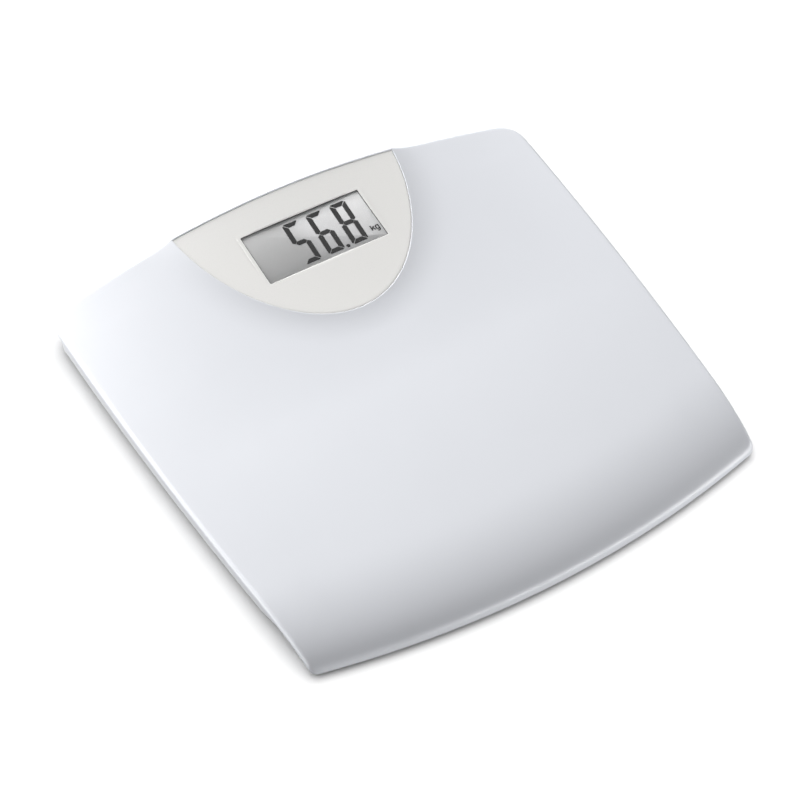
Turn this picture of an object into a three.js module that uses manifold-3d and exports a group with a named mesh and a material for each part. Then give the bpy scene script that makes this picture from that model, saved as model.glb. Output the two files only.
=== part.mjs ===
// Digital bathroom scale: a moulded platform on a shallow tray, four weighing
// feet, a display set into a domed pod at the far end, and what works them.
// Millimetres, +Z up. -Y is the user's side, +Y the display end.
import * as THREE from 'three';
import { mergeVertices } from 'three/addons/utils/BufferGeometryUtils.js';
import Module from 'manifold-3d';

const wasm = await Module();
wasm.setup();

// ---- driving dimensions -------------------------------------------------

// Gap kept between pieces that touch on the real object.
const GAP = 0.3;

// Platform plan: a four-sided outline whose sides all bow outward.
const MID_WIDTH = 300; // across the middle of the platform
const SIDE_DEPTH = 272.4; // corner to corner along a side
const TAPER = 9.6; // how much wider each side stands at the display end
const SIDE_BOW = 3.3;
const FRONT_BOW = 16.5;
const BACK_BOW = 12.6;
const BACK_CORNER = 15; // length each edge gives up to a back corner
const FRONT_CORNER = 4;

// Platform profile.
const EDGE_HEIGHT = 17.5; // top of the side edge at mid depth
const EDGE_SLOPE = 0.01; // the edge climbs slowly to the display end
const PLATFORM_CROWN = 1.5;
const DOME_RISE = 11; // the display end swells into a dome
const DOME_POWER = 1.6;
const WATERFALL_LENGTH = 50; // the front edge rolls down over this depth
const LIP_TOP = 6.5; // level of the front edge once it has rolled down
const WATERFALL_DROP = EDGE_HEIGHT - LIP_TOP;
const COVER_WALL = 2.5;
const EDGE_ROUND = 2.5;
const SKIRT = 3.8; // visible height of the cover's side band
const LIP_BOTTOM = 4; // lowest edge of the cover, at the front
const PARTING_DEPTH = 2.3; // below the side edge at mid depth
const PARTING_TOP = EDGE_HEIGHT - PARTING_DEPTH; // highest line where cover and tray meet

// Display pod: a D-shaped panel, its curved side towards the user.
const POD_HALF_WIDTH = 73.5;
const POD_SETBACK = 0.8; // from the middle of the back edge
const POD_BACK = SIDE_DEPTH / 2 + BACK_BOW - POD_SETBACK; // where the D would be widest
const POD_LENGTH = 98; // from there to its nearest point
const POD_POWER = 1.62;
const POD_FRONT_RISE = 1.2; // pod above the dome at its front
const POD_BACK_RISE = 3.2;
const FLARE = 18; // width of the concave flare around the pod
const BEZEL_BACK_INSET = 3; // rim of cover left behind the panel
const BEZEL_RECESS = 0.5; // panel below the surrounding rim
const BEZEL_THICK = 2;

// Display window, in the pod's own tilted frame.
const DISPLAY_SETBACK = 41.4; // from the pod's widest line
const DISPLAY_Y = POD_BACK - DISPLAY_SETBACK;
const WINDOW_WIDTH = 77.7;
const WINDOW_HEIGHT = 37.3;
const WINDOW_LIP = 0.7; // depth of panel edge seen above the lens
const LENS_LAP = 1.7; // lens beyond the window on each side
const LENS_THICK = 1;
const GLASS_LAP = 1.2;
const GLASS_THICK = 2;
const HOLDER_WALL = 3.7;
const STRIP_WIDTH = 2;
const STRIP_HEIGHT = 2.2;
const BOARD_MARGIN = 14; // board beyond the glass at each end
const BOARD_SIDE_MARGIN = 12; // and at each side
const BOARD_THICK = 1.6;
const BOARD_SCREW_INSET = 4.3;

// Tray.
const BASE_BOTTOM = 3;
const BASE_FLOOR = 2.2;
const BASE_SIDE_INSET = 1;
const BASE_FRONT_INSET = 3.8;
const BASE_TAPER = 3.5; // how far the underside draws in
const BASE_BOSS_RISE = 1.8; // screw bosses above the tray's floor
const BOSS_SEAT = 1.7; // plastic under a housing screw's head
const GROOVE = 1.2; // shadow line between cover and tray
const BACK_SHADOW = 2; // extra inset of the tray's back wall
const TONGUE_WALL = 1.2; // inner rim of the tray, behind the shadow line

// Weighing feet, one near each corner.
const FOOT_RADIUS = 15;
const FOOT_FLANGE = 3; // flange beyond the foot that keeps it captive
const FOOT_FLANGE_THICK = 1;
const FOOT_STEM = 0.4; // stem above the flange, which bears on the cell
const FOOT_TRAVEL = 0.8;
const FOOT_CLEARANCE = 0.75; // radial, foot to its hole in the tray
const PAD_RADIUS = 12.5;
const PAD_THICK = 1.8;
const CELL_SIZE = 34;
const CELL_THICK = 1.2;
// Slot that frees the cell's tongue: its far and near edges and half its length.
const CELL_SLOT = { far: 0.324 * CELL_SIZE, near: 0.25 * CELL_SIZE, reach: 0.265 * CELL_SIZE };
const CARRIER_WALL = 4.5;
const CARRIER_CORNER = 8;
const CARRIER_LIP = 0.3; // carrier wall above the cell
const CARRIER_HALF = CELL_SIZE / 2 + GAP + CARRIER_WALL;
const LUG_LENGTH = 9;
const LUG_WIDTH = 10;
const LUG_THICK = 1.6;
const LUG_CLEAR = 8.5; // from the outer lug's end to the platform's side
const FOOT_SIDE_INSET = CARRIER_HALF + LUG_LENGTH + LUG_CLEAR;
const CARRIER_CLEAR = 16.2; // from the carrier to the line of the end corners
const FOOT_END_INSET = CARRIER_HALF + CARRIER_CLEAR;

// Fasteners: shaft radius, head radius, head height.
const HOUSING_SCREW = { shaft: 1.5, head: 3, headHeight: 1.6 };
const CARRIER_SCREW = { shaft: 1.3, head: 2.6, headHeight: 1.2 };
const BOARD_SCREW = { shaft: 1.1, head: 2.2, headHeight: 1.4 };
const BOSS_WALL = 2.2;
const HOUSING_SCREW_TIP = EDGE_HEIGHT - 4.1; // safely inside the cover's posts
const SIDE_SCREW_INSET = 16;
const SCREW_BOSS = HOUSING_SCREW.head + GAP + BOSS_WALL; // radius of a screw's boss in the tray
const FRONT_BOSS_CLEAR = 6.4; // from a boss to the carrier beside it
const BACK_BOSS_CLEAR = 2.4;
// From each end corner, along the end.
const FRONT_SCREW_INSET = FOOT_SIDE_INSET + CARRIER_HALF + SCREW_BOSS + FRONT_BOSS_CLEAR;
const BACK_SCREW_INSET = FOOT_SIDE_INSET + CARRIER_HALF + SCREW_BOSS + BACK_BOSS_CLEAR;
const END_SCREW_DEPTH = 12; // from the corner line, both ends

// Battery bay and door, under the middle of the tray.
const BAY_Y = -20;
const COIN_RADIUS = 10;
const COIN_THICK = 3.2;
const DOOR_WIDTH = 32;
const DOOR_LENGTH = 36;
const DOOR_THICK = 1.8;
const DOOR_TRAVEL = 8;
const DOOR_TAB_LENGTH = 5;
const DOOR_TAB_REACH = 1.5;
const DOOR_TAB_THICK = 0.8;
const BAY_WALL = 4;
const BAY_CEILING = 1.6;
const CONTACT_THICK = 0.4;
const CONTACT_WIDTH = 5;

// Unit button and its switch, beside the battery bay.
const BUTTON_X = 52;
const BUTTON_RADIUS = 4;
const BUTTON_FLANGE = 1.5;
const BUTTON_RECESS = 0.3;
const BUTTON_TRAVEL = 1;
const SWITCH_SIZE = 6;
const SWITCH_HEIGHT = 3.5;
const SWITCH_PLUNGER = 1.7;
const BUTTON_BOARD = { width: 22, depth: 12, thick: 1.2 };

// Cables.
const CABLE_RADIUS = 1;
const CABLE_SIDES = 8;
const CABLE_LEVEL = 10; // height of the cable runs
const CABLE_RUN = 29; // from the display glass out to the long runs
const FRONT_LANDING = 34; // where a sensor cable meets the board, from its middle
const REAR_LANDING = 44;
const LANDING_DROP = 6; // the last bend hangs this far under the board

// Ribs.
const RIB_THICK = 1.6;
const BASE_RIB_TOP = 8;
const COVER_RIB_BOTTOM = 13.2;
const RIB_PITCH = 40;
const RIB_PITCHES = 3.6; // length of a cover rib, in pitches
const FRONT_RIB_CLEAR = 16.4; // from the carriers to the tray's cross ribs
const REAR_RIB_CLEAR = 36.4;

// ---- finishes -----------------------------------------------------------

/** A plain finish: colour, roughness and metalness. */
const finish = (color, roughness, metalness = 0) =>
  new THREE.MeshStandardMaterial({ color, roughness, metalness });

const WHITE_ABS = finish(0xeef0f2, 0.42);
const PANEL_ABS = finish(0xf0efec, 0.38);
const LENS_CLEAR = finish(0xdfe3e2, 0.08);
const LCD_GREY = finish(0xc9cccb, 0.25);
const HOLDER_BLACK = finish(0x2b2c2e, 0.5);
const STRIP_RUBBER = finish(0x55585c, 0.7);
const BOARD_GREEN = finish(0x2e6b46, 0.45);
const EPOXY = finish(0x17181a, 0.35);
const SPRING_STEEL = finish(0xb9bdc1, 0.3, 1);
const NICKEL = finish(0xcfd1d3, 0.25, 1);
const ZINC = finish(0xc4c8ca, 0.35, 1);
const BUTTON_GREY = finish(0x8b8f94, 0.5);
const PAD_RUBBER = finish(0x6f7276, 0.85);
const CABLE_JACKET = finish(0xd8d8d4, 0.5);
const SWITCH_BLACK = finish(0x222326, 0.4);

// ---- solids from geometry -----------------------------------------------

/** Turns a closed geometry into a solid that can be joined and cut. */
function solid(geometry) {
  const bare = geometry.clone();
  bare.deleteAttribute('normal');
  bare.deleteAttribute('uv');
  const merged = mergeVertices(bare, 1e-4);
  return new wasm.Manifold(new wasm.Mesh({
    numProp: 3,
    vertProperties: new Float32Array(merged.attributes.position.array),
    triVerts: new Uint32Array(merged.index.array),
  }));
}

/** Gives a solid back as a geometry. */
function surface(body) {
  const mesh = body.getMesh();
  const geometry = new THREE.BufferGeometry();
  geometry.setAttribute('position', new THREE.BufferAttribute(mesh.vertProperties, 3));
  geometry.setIndex(new THREE.BufferAttribute(mesh.triVerts, 1));
  geometry.computeVertexNormals();
  return geometry;
}

/** Joins further geometries to the first, then cuts others away. */
function carve(first, { join = [], cut = [] }) {
  let body = solid(first);
  for (const piece of join) {
    body = body.add(solid(piece));
  }
  for (const piece of cut) {
    body = body.subtract(solid(piece));
  }
  return surface(body);
}

/** Keeps only what lies inside both geometries. */
function common(first, second) {
  return surface(solid(first).intersect(solid(second)));
}

/** A mesh with a node's name. */
function node(name, geometry, material) {
  const mesh = new THREE.Mesh(geometry, material);
  mesh.name = name;
  return mesh;
}

// ---- basic shapes -------------------------------------------------------

/** A box centred on x and y, standing from low to high. */
function block(x, y, low, high, width, depth) {
  const box = new THREE.BoxGeometry(width, depth, high - low);
  return box.translate(x, y, (low + high) / 2);
}

/** A plate with rounded upright corners, standing from low to high. */
function plate(x, y, low, high, width, depth, radius) {
  const outline = roundedRectangle(width, depth, radius);
  const settings = { depth: high - low, bevelEnabled: false, curveSegments: 2 };
  return new THREE.ExtrudeGeometry(outline, settings).translate(x, y, low);
}

/** A rectangle with rounded corners, centred on the origin. */
function roundedRectangle(width, depth, radius) {
  const [right, top] = [width / 2, depth / 2];
  const shape = new THREE.Shape();
  shape.moveTo(radius - right, -top);
  shape.lineTo(right - radius, -top);
  shape.absarc(right - radius, radius - top, radius, -Math.PI / 2, 0);
  shape.lineTo(right, top - radius);
  shape.absarc(right - radius, top - radius, radius, 0, Math.PI / 2);
  shape.lineTo(radius - right, top);
  shape.absarc(radius - right, top - radius, radius, Math.PI / 2, Math.PI);
  shape.lineTo(-right, radius - top);
  shape.absarc(radius - right, radius - top, radius, Math.PI, Math.PI * 1.5);
  return shape;
}

/** A solid of revolution about an upright axis through (x, y). */
function turned(x, y, profile, segments = 20) {
  const points = profile.map(([radius, height]) => new THREE.Vector2(radius, height));
  const geometry = new THREE.LatheGeometry(points, segments);
  return geometry.rotateX(Math.PI / 2).translate(x, y, 0);
}

/** An upright round bar. */
function bar(x, y, low, high, radius, segments = 10) {
  return turned(x, y, [[0, low], [radius, low], [radius, high], [0, high]], segments);
}

/**
 * A closed skin through rings of equal count. The rings run from the middle
 * of the top, outward, over the edge and back to the middle of the underside.
 */
function skin(rings) {
  const count = rings[0].length;
  const middle = (ring) => ring
    .reduce((sum, point) => sum.add(point), new THREE.Vector3())
    .divideScalar(count);
  const points = [...rings.flat(), middle(rings[0]), middle(rings.at(-1))];
  const top = points.length - 2;
  const bottom = points.length - 1;
  const faces = [];
  for (let j = 0; j < count; j += 1) {
    const next = (j + 1) % count;
    const last = (rings.length - 1) * count;
    faces.push(top, j, next, bottom, last + next, last + j);
    for (let i = 0; i < rings.length - 1; i += 1) {
      const [inner, outer] = [i * count, (i + 1) * count];
      faces.push(inner + j, outer + j, outer + next);
      faces.push(inner + j, outer + next, inner + next);
    }
  }
  const geometry = new THREE.BufferGeometry().setFromPoints(points);
  geometry.setIndex(faces);
  geometry.computeVertexNormals();
  return geometry;
}

/** Draws a flat outline in towards a centre. */
function shrink(outline, share, centre = new THREE.Vector2()) {
  return outline.map((point) => point.clone().sub(centre).multiplyScalar(share).add(centre));
}

/** Lifts a flat outline to a height that may vary from point to point. */
function lift(outline, height) {
  return outline.map((point, index) => new THREE.Vector3(point.x, point.y, height(point, index)));
}

// ---- platform surface ---------------------------------------------------

const HALF_DEPTH = SIDE_DEPTH / 2;
const CORNER_MEAN = MID_WIDTH / 2 - SIDE_BOW;
const FRONT_HALF = CORNER_MEAN - TAPER;
const BACK_HALF = CORNER_MEAN + TAPER;

/** Half the platform's width at a given depth. */
function halfWidth(y) {
  const share = THREE.MathUtils.clamp(y / HALF_DEPTH, -1, 1);
  return MID_WIDTH / 2 - SIDE_BOW * share ** 2 + TAPER * share;
}

/** Depth of the platform's front edge at a given x. */
function frontEdge(x) {
  return -HALF_DEPTH - FRONT_BOW * (1 - Math.min(1, Math.abs(x) / FRONT_HALF) ** 2);
}

/** Depth of the platform's back edge at a given x. */
function backEdge(x) {
  return HALF_DEPTH + BACK_BOW * (1 - Math.min(1, Math.abs(x) / BACK_HALF) ** 2);
}

/** Roll of the front edge: none at the platform, all of it at the lip. */
function waterfall(x, y) {
  const reach = (frontEdge(x) + WATERFALL_LENGTH - y) / WATERFALL_LENGTH;
  const share = THREE.MathUtils.clamp(reach, 0, 1);
  return WATERFALL_DROP * (1 - Math.sqrt(1 - share ** 2));
}

/** Top of the platform before the pod is raised on it. */
function domeHeight(x, y) {
  const depth = THREE.MathUtils.clamp(y / (HALF_DEPTH + BACK_BOW), 0, 1);
  const crown = PLATFORM_CROWN + DOME_RISE * depth ** DOME_POWER;
  const across = Math.min(1, Math.abs(x) / halfWidth(y));
  return EDGE_HEIGHT + EDGE_SLOPE * y + crown * (1 - across ** 2) - waterfall(x, y);
}

/** How far the pod stands above the dome. */
function podRise(y) {
  const share = THREE.MathUtils.clamp((y - POD_BACK + POD_LENGTH) / POD_LENGTH, 0, 1);
  return THREE.MathUtils.lerp(POD_FRONT_RISE, POD_BACK_RISE, share);
}

/** Top of the pod. */
function podHeight(x, y) {
  return domeHeight(x, y) + podRise(y);
}

/** Distance from the pod's curved side, zero inside it. */
function podDistance(x, y) {
  const along = Math.max(0, POD_BACK - y);
  const level = (x / POD_HALF_WIDTH) ** 2 + (along / POD_LENGTH) ** POD_POWER;
  const slopeX = 2 * x / POD_HALF_WIDTH ** 2;
  const slopeY = POD_POWER / POD_LENGTH * (along / POD_LENGTH) ** (POD_POWER - 1);
  return level > 1 ? (level - 1) / Math.hypot(slopeX, slopeY) : 0;
}

/** Share of a rise that is left at a distance from the pod. */
function flareShare(x, y, width) {
  return Math.max(0, 1 - podDistance(x, y) / width) ** 2;
}

/** Outer surface of the cover, with the flare up to the pod. */
function coverHeight(x, y) {
  return domeHeight(x, y) + podRise(y) * flareShare(x, y, FLARE);
}

const EDGE_STEPS = 12;
const CORNER_STEPS = 3;

/**
 * Outline of the platform, drawn in by an inset, anticlockwise from the
 * front left corner. Its four edges are parabolas.
 */
function planOutline(inset = 0) {
  const front = -HALF_DEPTH + inset;
  const back = HALF_DEPTH - inset;
  const corners = [
    new THREE.Vector2(inset - FRONT_HALF, front),
    new THREE.Vector2(FRONT_HALF - inset, front),
    new THREE.Vector2(BACK_HALF - inset, back),
    new THREE.Vector2(inset - BACK_HALF, back),
  ];
  const sideMiddle = MID_WIDTH / 2 + SIDE_BOW - inset;
  const middles = [
    new THREE.Vector2(0, front - 2 * FRONT_BOW),
    new THREE.Vector2(sideMiddle, 0),
    new THREE.Vector2(0, back + 2 * BACK_BOW),
    new THREE.Vector2(-sideMiddle, 0),
  ];
  const rounds = [FRONT_CORNER, FRONT_CORNER, BACK_CORNER, BACK_CORNER]
    .map((round) => Math.max(1, round - inset / 2));
  const edges = corners.map((corner, k) =>
    new THREE.QuadraticBezierCurve(corner, middles[k], corners[(k + 1) % 4]));
  const points = [];
  edges.forEach((edge, k) => {
    const after = (k + 1) % 4;
    const next = edges[after];
    const start = rounds[k] / edge.getLength();
    const end = 1 - rounds[after] / edge.getLength();
    for (let i = 0; i < EDGE_STEPS; i += 1) {
      points.push(edge.getPoint(THREE.MathUtils.lerp(start, end, i / EDGE_STEPS)));
    }
    const turn = new THREE.QuadraticBezierCurve(
      edge.getPoint(end), corners[after], next.getPoint(rounds[after] / next.getLength()));
    points.push(...turn.getPoints(CORNER_STEPS).slice(0, -1));
  });
  return points;
}

const RIM = planOutline();
const RIM_TOP = RIM.map(({ x, y }) => coverHeight(x, y));
const SKIRT_BOTTOM = RIM_TOP.map((top) =>
  THREE.MathUtils.clamp(top - SKIRT, LIP_BOTTOM, PARTING_TOP));

/** Drop of the rounded top edge at an inset, for one point of the rim. */
function edgeDrop(inset, index) {
  const room = Math.max(0, RIM_TOP[index] - SKIRT_BOTTOM[index] - 0.6);
  const share = Math.max(0, 1 - inset / EDGE_ROUND);
  return Math.min(EDGE_ROUND, room) * (1 - Math.sqrt(1 - share ** 2));
}

// Insets of the rings that follow the rim, then shares of the last of them.
const OUTER_INSETS = [51, 37, 25, 15, 7, EDGE_ROUND, 0.7, 0];
const INNER_INSETS = [COVER_WALL, 9, 22, 51];
const MIDDLE_SHARES = [0.2, 0.42, 0.64, 0.83];

/** Rings of a surface over the whole plan, from the middle to the rim. */
function planRings(insets, height) {
  const deepest = planOutline(Math.max(...insets));
  const inner = MIDDLE_SHARES.map((share) =>
    lift(shrink(deepest, share), ({ x, y }) => height(x, y, share, -1)));
  const outer = insets.map((inset) =>
    lift(planOutline(inset), ({ x, y }, index) => height(x, y, inset, index)));
  return [...inner, ...outer];
}

/** The cover's outer surface, lowered by an amount. */
function coverTop(lowered = 0) {
  return planRings(OUTER_INSETS, (x, y, inset, index) =>
    coverHeight(x, y) - lowered - (index < 0 ? 0 : edgeDrop(inset, index)));
}

/** Depth of the extra wall under the pod, where the panel's pocket is. */
function podThickening(x, y) {
  return (BEZEL_RECESS + BEZEL_THICK + GAP) * flareShare(x, y, FLARE);
}

// ---- display pod --------------------------------------------------------

const POD_CENTRE = new THREE.Vector2(0, DISPLAY_Y);
const POD_SIDE_STEPS = 26;
const POD_BACK_STEPS = 8;

/** Outline of the display panel, grown by an amount, anticlockwise. */
function podOutline(grown = 0) {
  const backInset = BEZEL_BACK_INSET - grown;
  const width = POD_HALF_WIDTH + grown;
  const length = POD_LENGTH + grown;
  const cornerAlong = POD_BACK - backEdge(width) + backInset;
  const cornerAngle = Math.asin((cornerAlong / length) ** (POD_POWER / 2));
  const points = [];
  for (let i = 0; i <= POD_SIDE_STEPS; i += 1) {
    const angle = THREE.MathUtils.lerp(Math.PI - cornerAngle, cornerAngle, i / POD_SIDE_STEPS);
    const along = length * Math.sin(angle) ** (2 / POD_POWER);
    points.push(new THREE.Vector2(width * Math.cos(angle), POD_BACK - along));
  }
  const corner = points.at(-1).x;
  for (let i = 1; i < POD_BACK_STEPS; i += 1) {
    const x = THREE.MathUtils.lerp(corner, -corner, i / POD_BACK_STEPS);
    points.push(new THREE.Vector2(x, backEdge(x) - backInset));
  }
  return points;
}

/** A D-shaped solid between two surfaces given as heights. */
function podSolid(grown, topHeight, bottomHeight, edgeRadius = 0) {
  const outline = podOutline(grown);
  const shares = [0.35, 0.7];
  const ring = (share, height) =>
    lift(shrink(outline, share, POD_CENTRE), ({ x, y }) => height(x, y));
  const near = 1 - edgeRadius / POD_HALF_WIDTH;
  const rounded = (x, y) => topHeight(x, y) - edgeRadius;
  return skin([
    ...shares.map((share) => ring(share, topHeight)),
    ring(near, topHeight),
    ring(1, rounded),
    ring(1, bottomHeight),
    ...shares.toReversed().map((share) => ring(share, bottomHeight)),
  ]);
}

const PANEL_TOP = (x, y) => podHeight(x, y) - BEZEL_RECESS;
const PANEL_BOTTOM = (x, y) => PANEL_TOP(x, y) - BEZEL_THICK;
const DISPLAY_SLOPE = (PANEL_TOP(0, DISPLAY_Y + 1) - PANEL_TOP(0, DISPLAY_Y - 1)) / 2;
const DISPLAY_TILT = Math.atan(DISPLAY_SLOPE); // the display lies along the panel's slope
const DISPLAY_ORIGIN = new THREE.Vector3(0, DISPLAY_Y, PANEL_TOP(0, DISPLAY_Y));
const DISPLAY_FRAME = new THREE.Matrix4()
  .makeRotationX(DISPLAY_TILT)
  .setPosition(DISPLAY_ORIGIN);

// Stack of the display below the panel's top, in the tilted frame.
const LENS_TOP = -WINDOW_LIP - GAP;
const LENS_BOTTOM = LENS_TOP - LENS_THICK;
const GLASS_TOP = LENS_BOTTOM - GAP;
const GLASS_BOTTOM = GLASS_TOP - GLASS_THICK;
const HOLDER_TOP = GLASS_TOP - 1.2; // clear of the panel's crowned underside
const STRIP_TOP = GLASS_BOTTOM - GAP;
const STRIP_BOTTOM = STRIP_TOP - STRIP_HEIGHT;
const BOARD_TOP = STRIP_BOTTOM - GAP;
const BOARD_BOTTOM = BOARD_TOP - BOARD_THICK;
const LENS_WIDTH = WINDOW_WIDTH + 2 * LENS_LAP;
const LENS_HEIGHT = WINDOW_HEIGHT + 2 * LENS_LAP;
const GLASS_WIDTH = WINDOW_WIDTH + 2 * GLASS_LAP;
const GLASS_HEIGHT = WINDOW_HEIGHT + 2 * GLASS_LAP;
const HOLDER_WIDTH = GLASS_WIDTH + 2 * HOLDER_WALL;
const HOLDER_HEIGHT = GLASS_HEIGHT + 2 * HOLDER_WALL;
const BOARD_WIDTH = GLASS_WIDTH + 2 * BOARD_MARGIN;
const BOARD_HEIGHT = GLASS_HEIGHT + 2 * BOARD_SIDE_MARGIN;
const BOARD_HOLES = [-1, 1].flatMap((sideX) => [-1, 1].map((sideY) => ({
  name: `${sideY < 0 ? 'front' : 'rear'}_${sideX < 0 ? 'left' : 'right'}`,
  x: sideX * (BOARD_WIDTH / 2 - BOARD_SCREW_INSET),
  y: sideY * (BOARD_HEIGHT / 2 - BOARD_SCREW_INSET),
})));

/** Moves a geometry from the display's own frame to the scale's. */
const tilted = (geometry) => geometry.applyMatrix4(DISPLAY_FRAME);

/** The display panel set into the pod, with its window. */
function displayBezel() {
  const blank = podSolid(0, PANEL_TOP, PANEL_BOTTOM, 0.4);
  const window = plate(0, 0, -8, 4, WINDOW_WIDTH, WINDOW_HEIGHT, 1);
  const rebate = plate(0, 0, -8, -WINDOW_LIP,
    LENS_WIDTH + 2 * GAP, LENS_HEIGHT + 2 * GAP, 1.5);
  return node('display_bezel',
    carve(blank, { cut: [tilted(window), tilted(rebate)] }), PANEL_ABS);
}

/** The display: lens, glass, its holder and contact strips, and the board. */
function displayStack() {
  const stack = new THREE.Group();
  stack.position.copy(DISPLAY_ORIGIN);
  stack.rotation.x = DISPLAY_TILT;
  const stripY = GLASS_HEIGHT / 2 - STRIP_WIDTH;
  const holder = carve(
    plate(0, 0, BOARD_TOP + GAP, HOLDER_TOP, HOLDER_WIDTH, HOLDER_HEIGHT, 1.5), {
      cut: [plate(0, 0, BOARD_TOP - 1, GLASS_TOP + 1,
        GLASS_WIDTH + 2 * GAP, GLASS_HEIGHT + 2 * GAP, 0.6)],
    });
  const holes = BOARD_HOLES.map(({ x, y }) =>
    bar(x, y, BOARD_BOTTOM - 1, BOARD_TOP + 1, BOARD_SCREW.shaft + GAP));
  const board = carve(
    plate(0, 0, BOARD_BOTTOM, BOARD_TOP, BOARD_WIDTH, BOARD_HEIGHT, 2), { cut: holes });
  const chip = turned(18, 4, [
    [0, BOARD_BOTTOM - GAP - 1.6], [3.5, BOARD_BOTTOM - GAP - 1.4],
    [6, BOARD_BOTTOM - GAP - 0.7], [7, BOARD_BOTTOM - GAP], [0, BOARD_BOTTOM - GAP],
  ]);
  stack.add(
    node('display_lens',
      plate(0, 0, LENS_BOTTOM, LENS_TOP, LENS_WIDTH, LENS_HEIGHT, 1.2), LENS_CLEAR),
    node('lcd_glass',
      plate(0, 0, GLASS_BOTTOM, GLASS_TOP, GLASS_WIDTH, GLASS_HEIGHT, 0.4), LCD_GREY),
    node('lcd_holder', holder, HOLDER_BLACK),
    node('contact_strip_front',
      block(0, -stripY, STRIP_BOTTOM, STRIP_TOP, GLASS_WIDTH - 6, STRIP_WIDTH), STRIP_RUBBER),
    node('contact_strip_rear',
      block(0, stripY, STRIP_BOTTOM, STRIP_TOP, GLASS_WIDTH - 6, STRIP_WIDTH), STRIP_RUBBER),
    node('main_board', board, BOARD_GREEN),
    node('processor_blob', chip, EPOXY));
  for (const hole of BOARD_HOLES) {
    stack.add(node(`board_screw_${hole.name}`,
      screw(hole.x, hole.y, BOARD_BOTTOM - GAP, BOARD_BOSS_ROOF - GAP, BOARD_SCREW), ZINC));
  }
  return stack;
}

/** A screw seen head down: head below seat, shaft up to its tip. */
function screw(x, y, seat, tip, { shaft, head, headHeight }) {
  return turned(x, y, [
    [0, seat - headHeight], [head * 0.75, seat - headHeight], [head, seat - headHeight * 0.45],
    [head, seat], [shaft, seat], [shaft, tip - shaft * 0.6], [0, tip],
  ], 8);
}

// ---- cover --------------------------------------------------------------

// Roof of the blind holes for the board's screws, in the tilted frame.
const BOARD_BOSS_ROOF = -BEZEL_THICK - GAP - 1.9;

const HOUSING_SCREWS = [-1, 1].flatMap((side) => {
  const name = side < 0 ? 'left' : 'right';
  return [
    { name: `front_${name}`, x: side * (FRONT_HALF - FRONT_SCREW_INSET),
      y: END_SCREW_DEPTH - HALF_DEPTH },
    { name: `middle_${name}`, x: side * (halfWidth(0) - SIDE_SCREW_INSET), y: 0 },
    { name: `rear_${name}`, x: side * (BACK_HALF - BACK_SCREW_INSET),
      y: HALF_DEPTH - END_SCREW_DEPTH },
  ];
});
const BASE_BOSS_TOP = BASE_BOTTOM + BASE_FLOOR + BASE_BOSS_RISE;

/** Posts and ribs under the cover, before they are trimmed to its surface. */
function coverPosts() {
  const roof = 60;
  const posts = HOUSING_SCREWS.map(({ x, y }) =>
    bar(x, y, BASE_BOSS_TOP + GAP, roof, HOUSING_SCREW.shaft + GAP + BOSS_WALL));
  const ribLength = RIB_PITCHES * RIB_PITCH;
  const ribY = -RIB_PITCH;
  for (const step of [-1, 0, 1]) {
    posts.push(block(step * RIB_PITCH, ribY, COVER_RIB_BOTTOM, roof, RIB_THICK, ribLength));
    posts.push(block(0, ribY + step * RIB_PITCH, COVER_RIB_BOTTOM, roof, ribLength, RIB_THICK));
  }
  for (const { x, y } of BOARD_HOLES) {
    const radius = BOARD_SCREW.shaft + GAP + BOSS_WALL;
    posts.push(tilted(bar(x, y, BOARD_TOP + GAP, 6, radius)));
  }
  return posts;
}

/** The moulded platform: a thin shell with a pocket for the display panel. */
function topCover() {
  const inner = planRings(INNER_INSETS.toReversed(), (x, y) =>
    domeHeight(x, y) - COVER_WALL - podThickening(x, y) + podRise(y) * flareShare(x, y, FLARE));
  const shell = skin([
    ...coverTop(),
    lift(RIM, (point, index) => SKIRT_BOTTOM[index]),
    lift(planOutline(COVER_WALL), (point, index) => SKIRT_BOTTOM[index]),
    ...inner.toReversed(),
  ]);
  const room = skin([
    ...coverTop(1),
    lift(planOutline(1), () => BASE_BOTTOM),
    lift(shrink(RIM, 0.3), () => BASE_BOTTOM),
  ]);
  const fittings = coverPosts().map((post) => common(post, room));
  const pocketFloor = (x, y) => PANEL_BOTTOM(x, y) - GAP;
  const pocket = podSolid(GAP, () => 60, pocketFloor);
  const opening = plate(0, 0, -12, 6, HOLDER_WIDTH + 2, HOLDER_HEIGHT + 2, 2);
  const holes = HOUSING_SCREWS.map(({ x, y }) =>
    bar(x, y, BASE_BOTTOM, HOUSING_SCREW_TIP + GAP, HOUSING_SCREW.shaft + GAP));
  for (const { x, y } of BOARD_HOLES) {
    holes.push(tilted(bar(x, y, -20, BOARD_BOSS_ROOF, BOARD_SCREW.shaft + GAP)));
  }
  return node('top_cover',
    carve(shell, { join: fittings, cut: [pocket, tilted(opening), ...holes] }), WHITE_ABS);
}

// ---- feet and load cells ------------------------------------------------

const FLOOR_TOP = BASE_BOTTOM + BASE_FLOOR;
const FLANGE_BOTTOM = FLOOR_TOP + GAP;
const FLANGE_TOP = FLANGE_BOTTOM + FOOT_FLANGE_THICK;
const STEM_TOP = FLANGE_TOP + FOOT_STEM;
const CELL_BOTTOM = STEM_TOP + FOOT_TRAVEL + GAP;
const CELL_TOP = CELL_BOTTOM + CELL_THICK;
const CARRIER_SIZE = 2 * CARRIER_HALF;
const LUG_BOTTOM = CELL_BOTTOM - GAP;
const LUG_CENTRE = CARRIER_SIZE / 2 + LUG_LENGTH / 2;
const LUG_SCREW_TIP = BASE_BOTTOM + 1.2; // short of the tray's outer face

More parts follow.
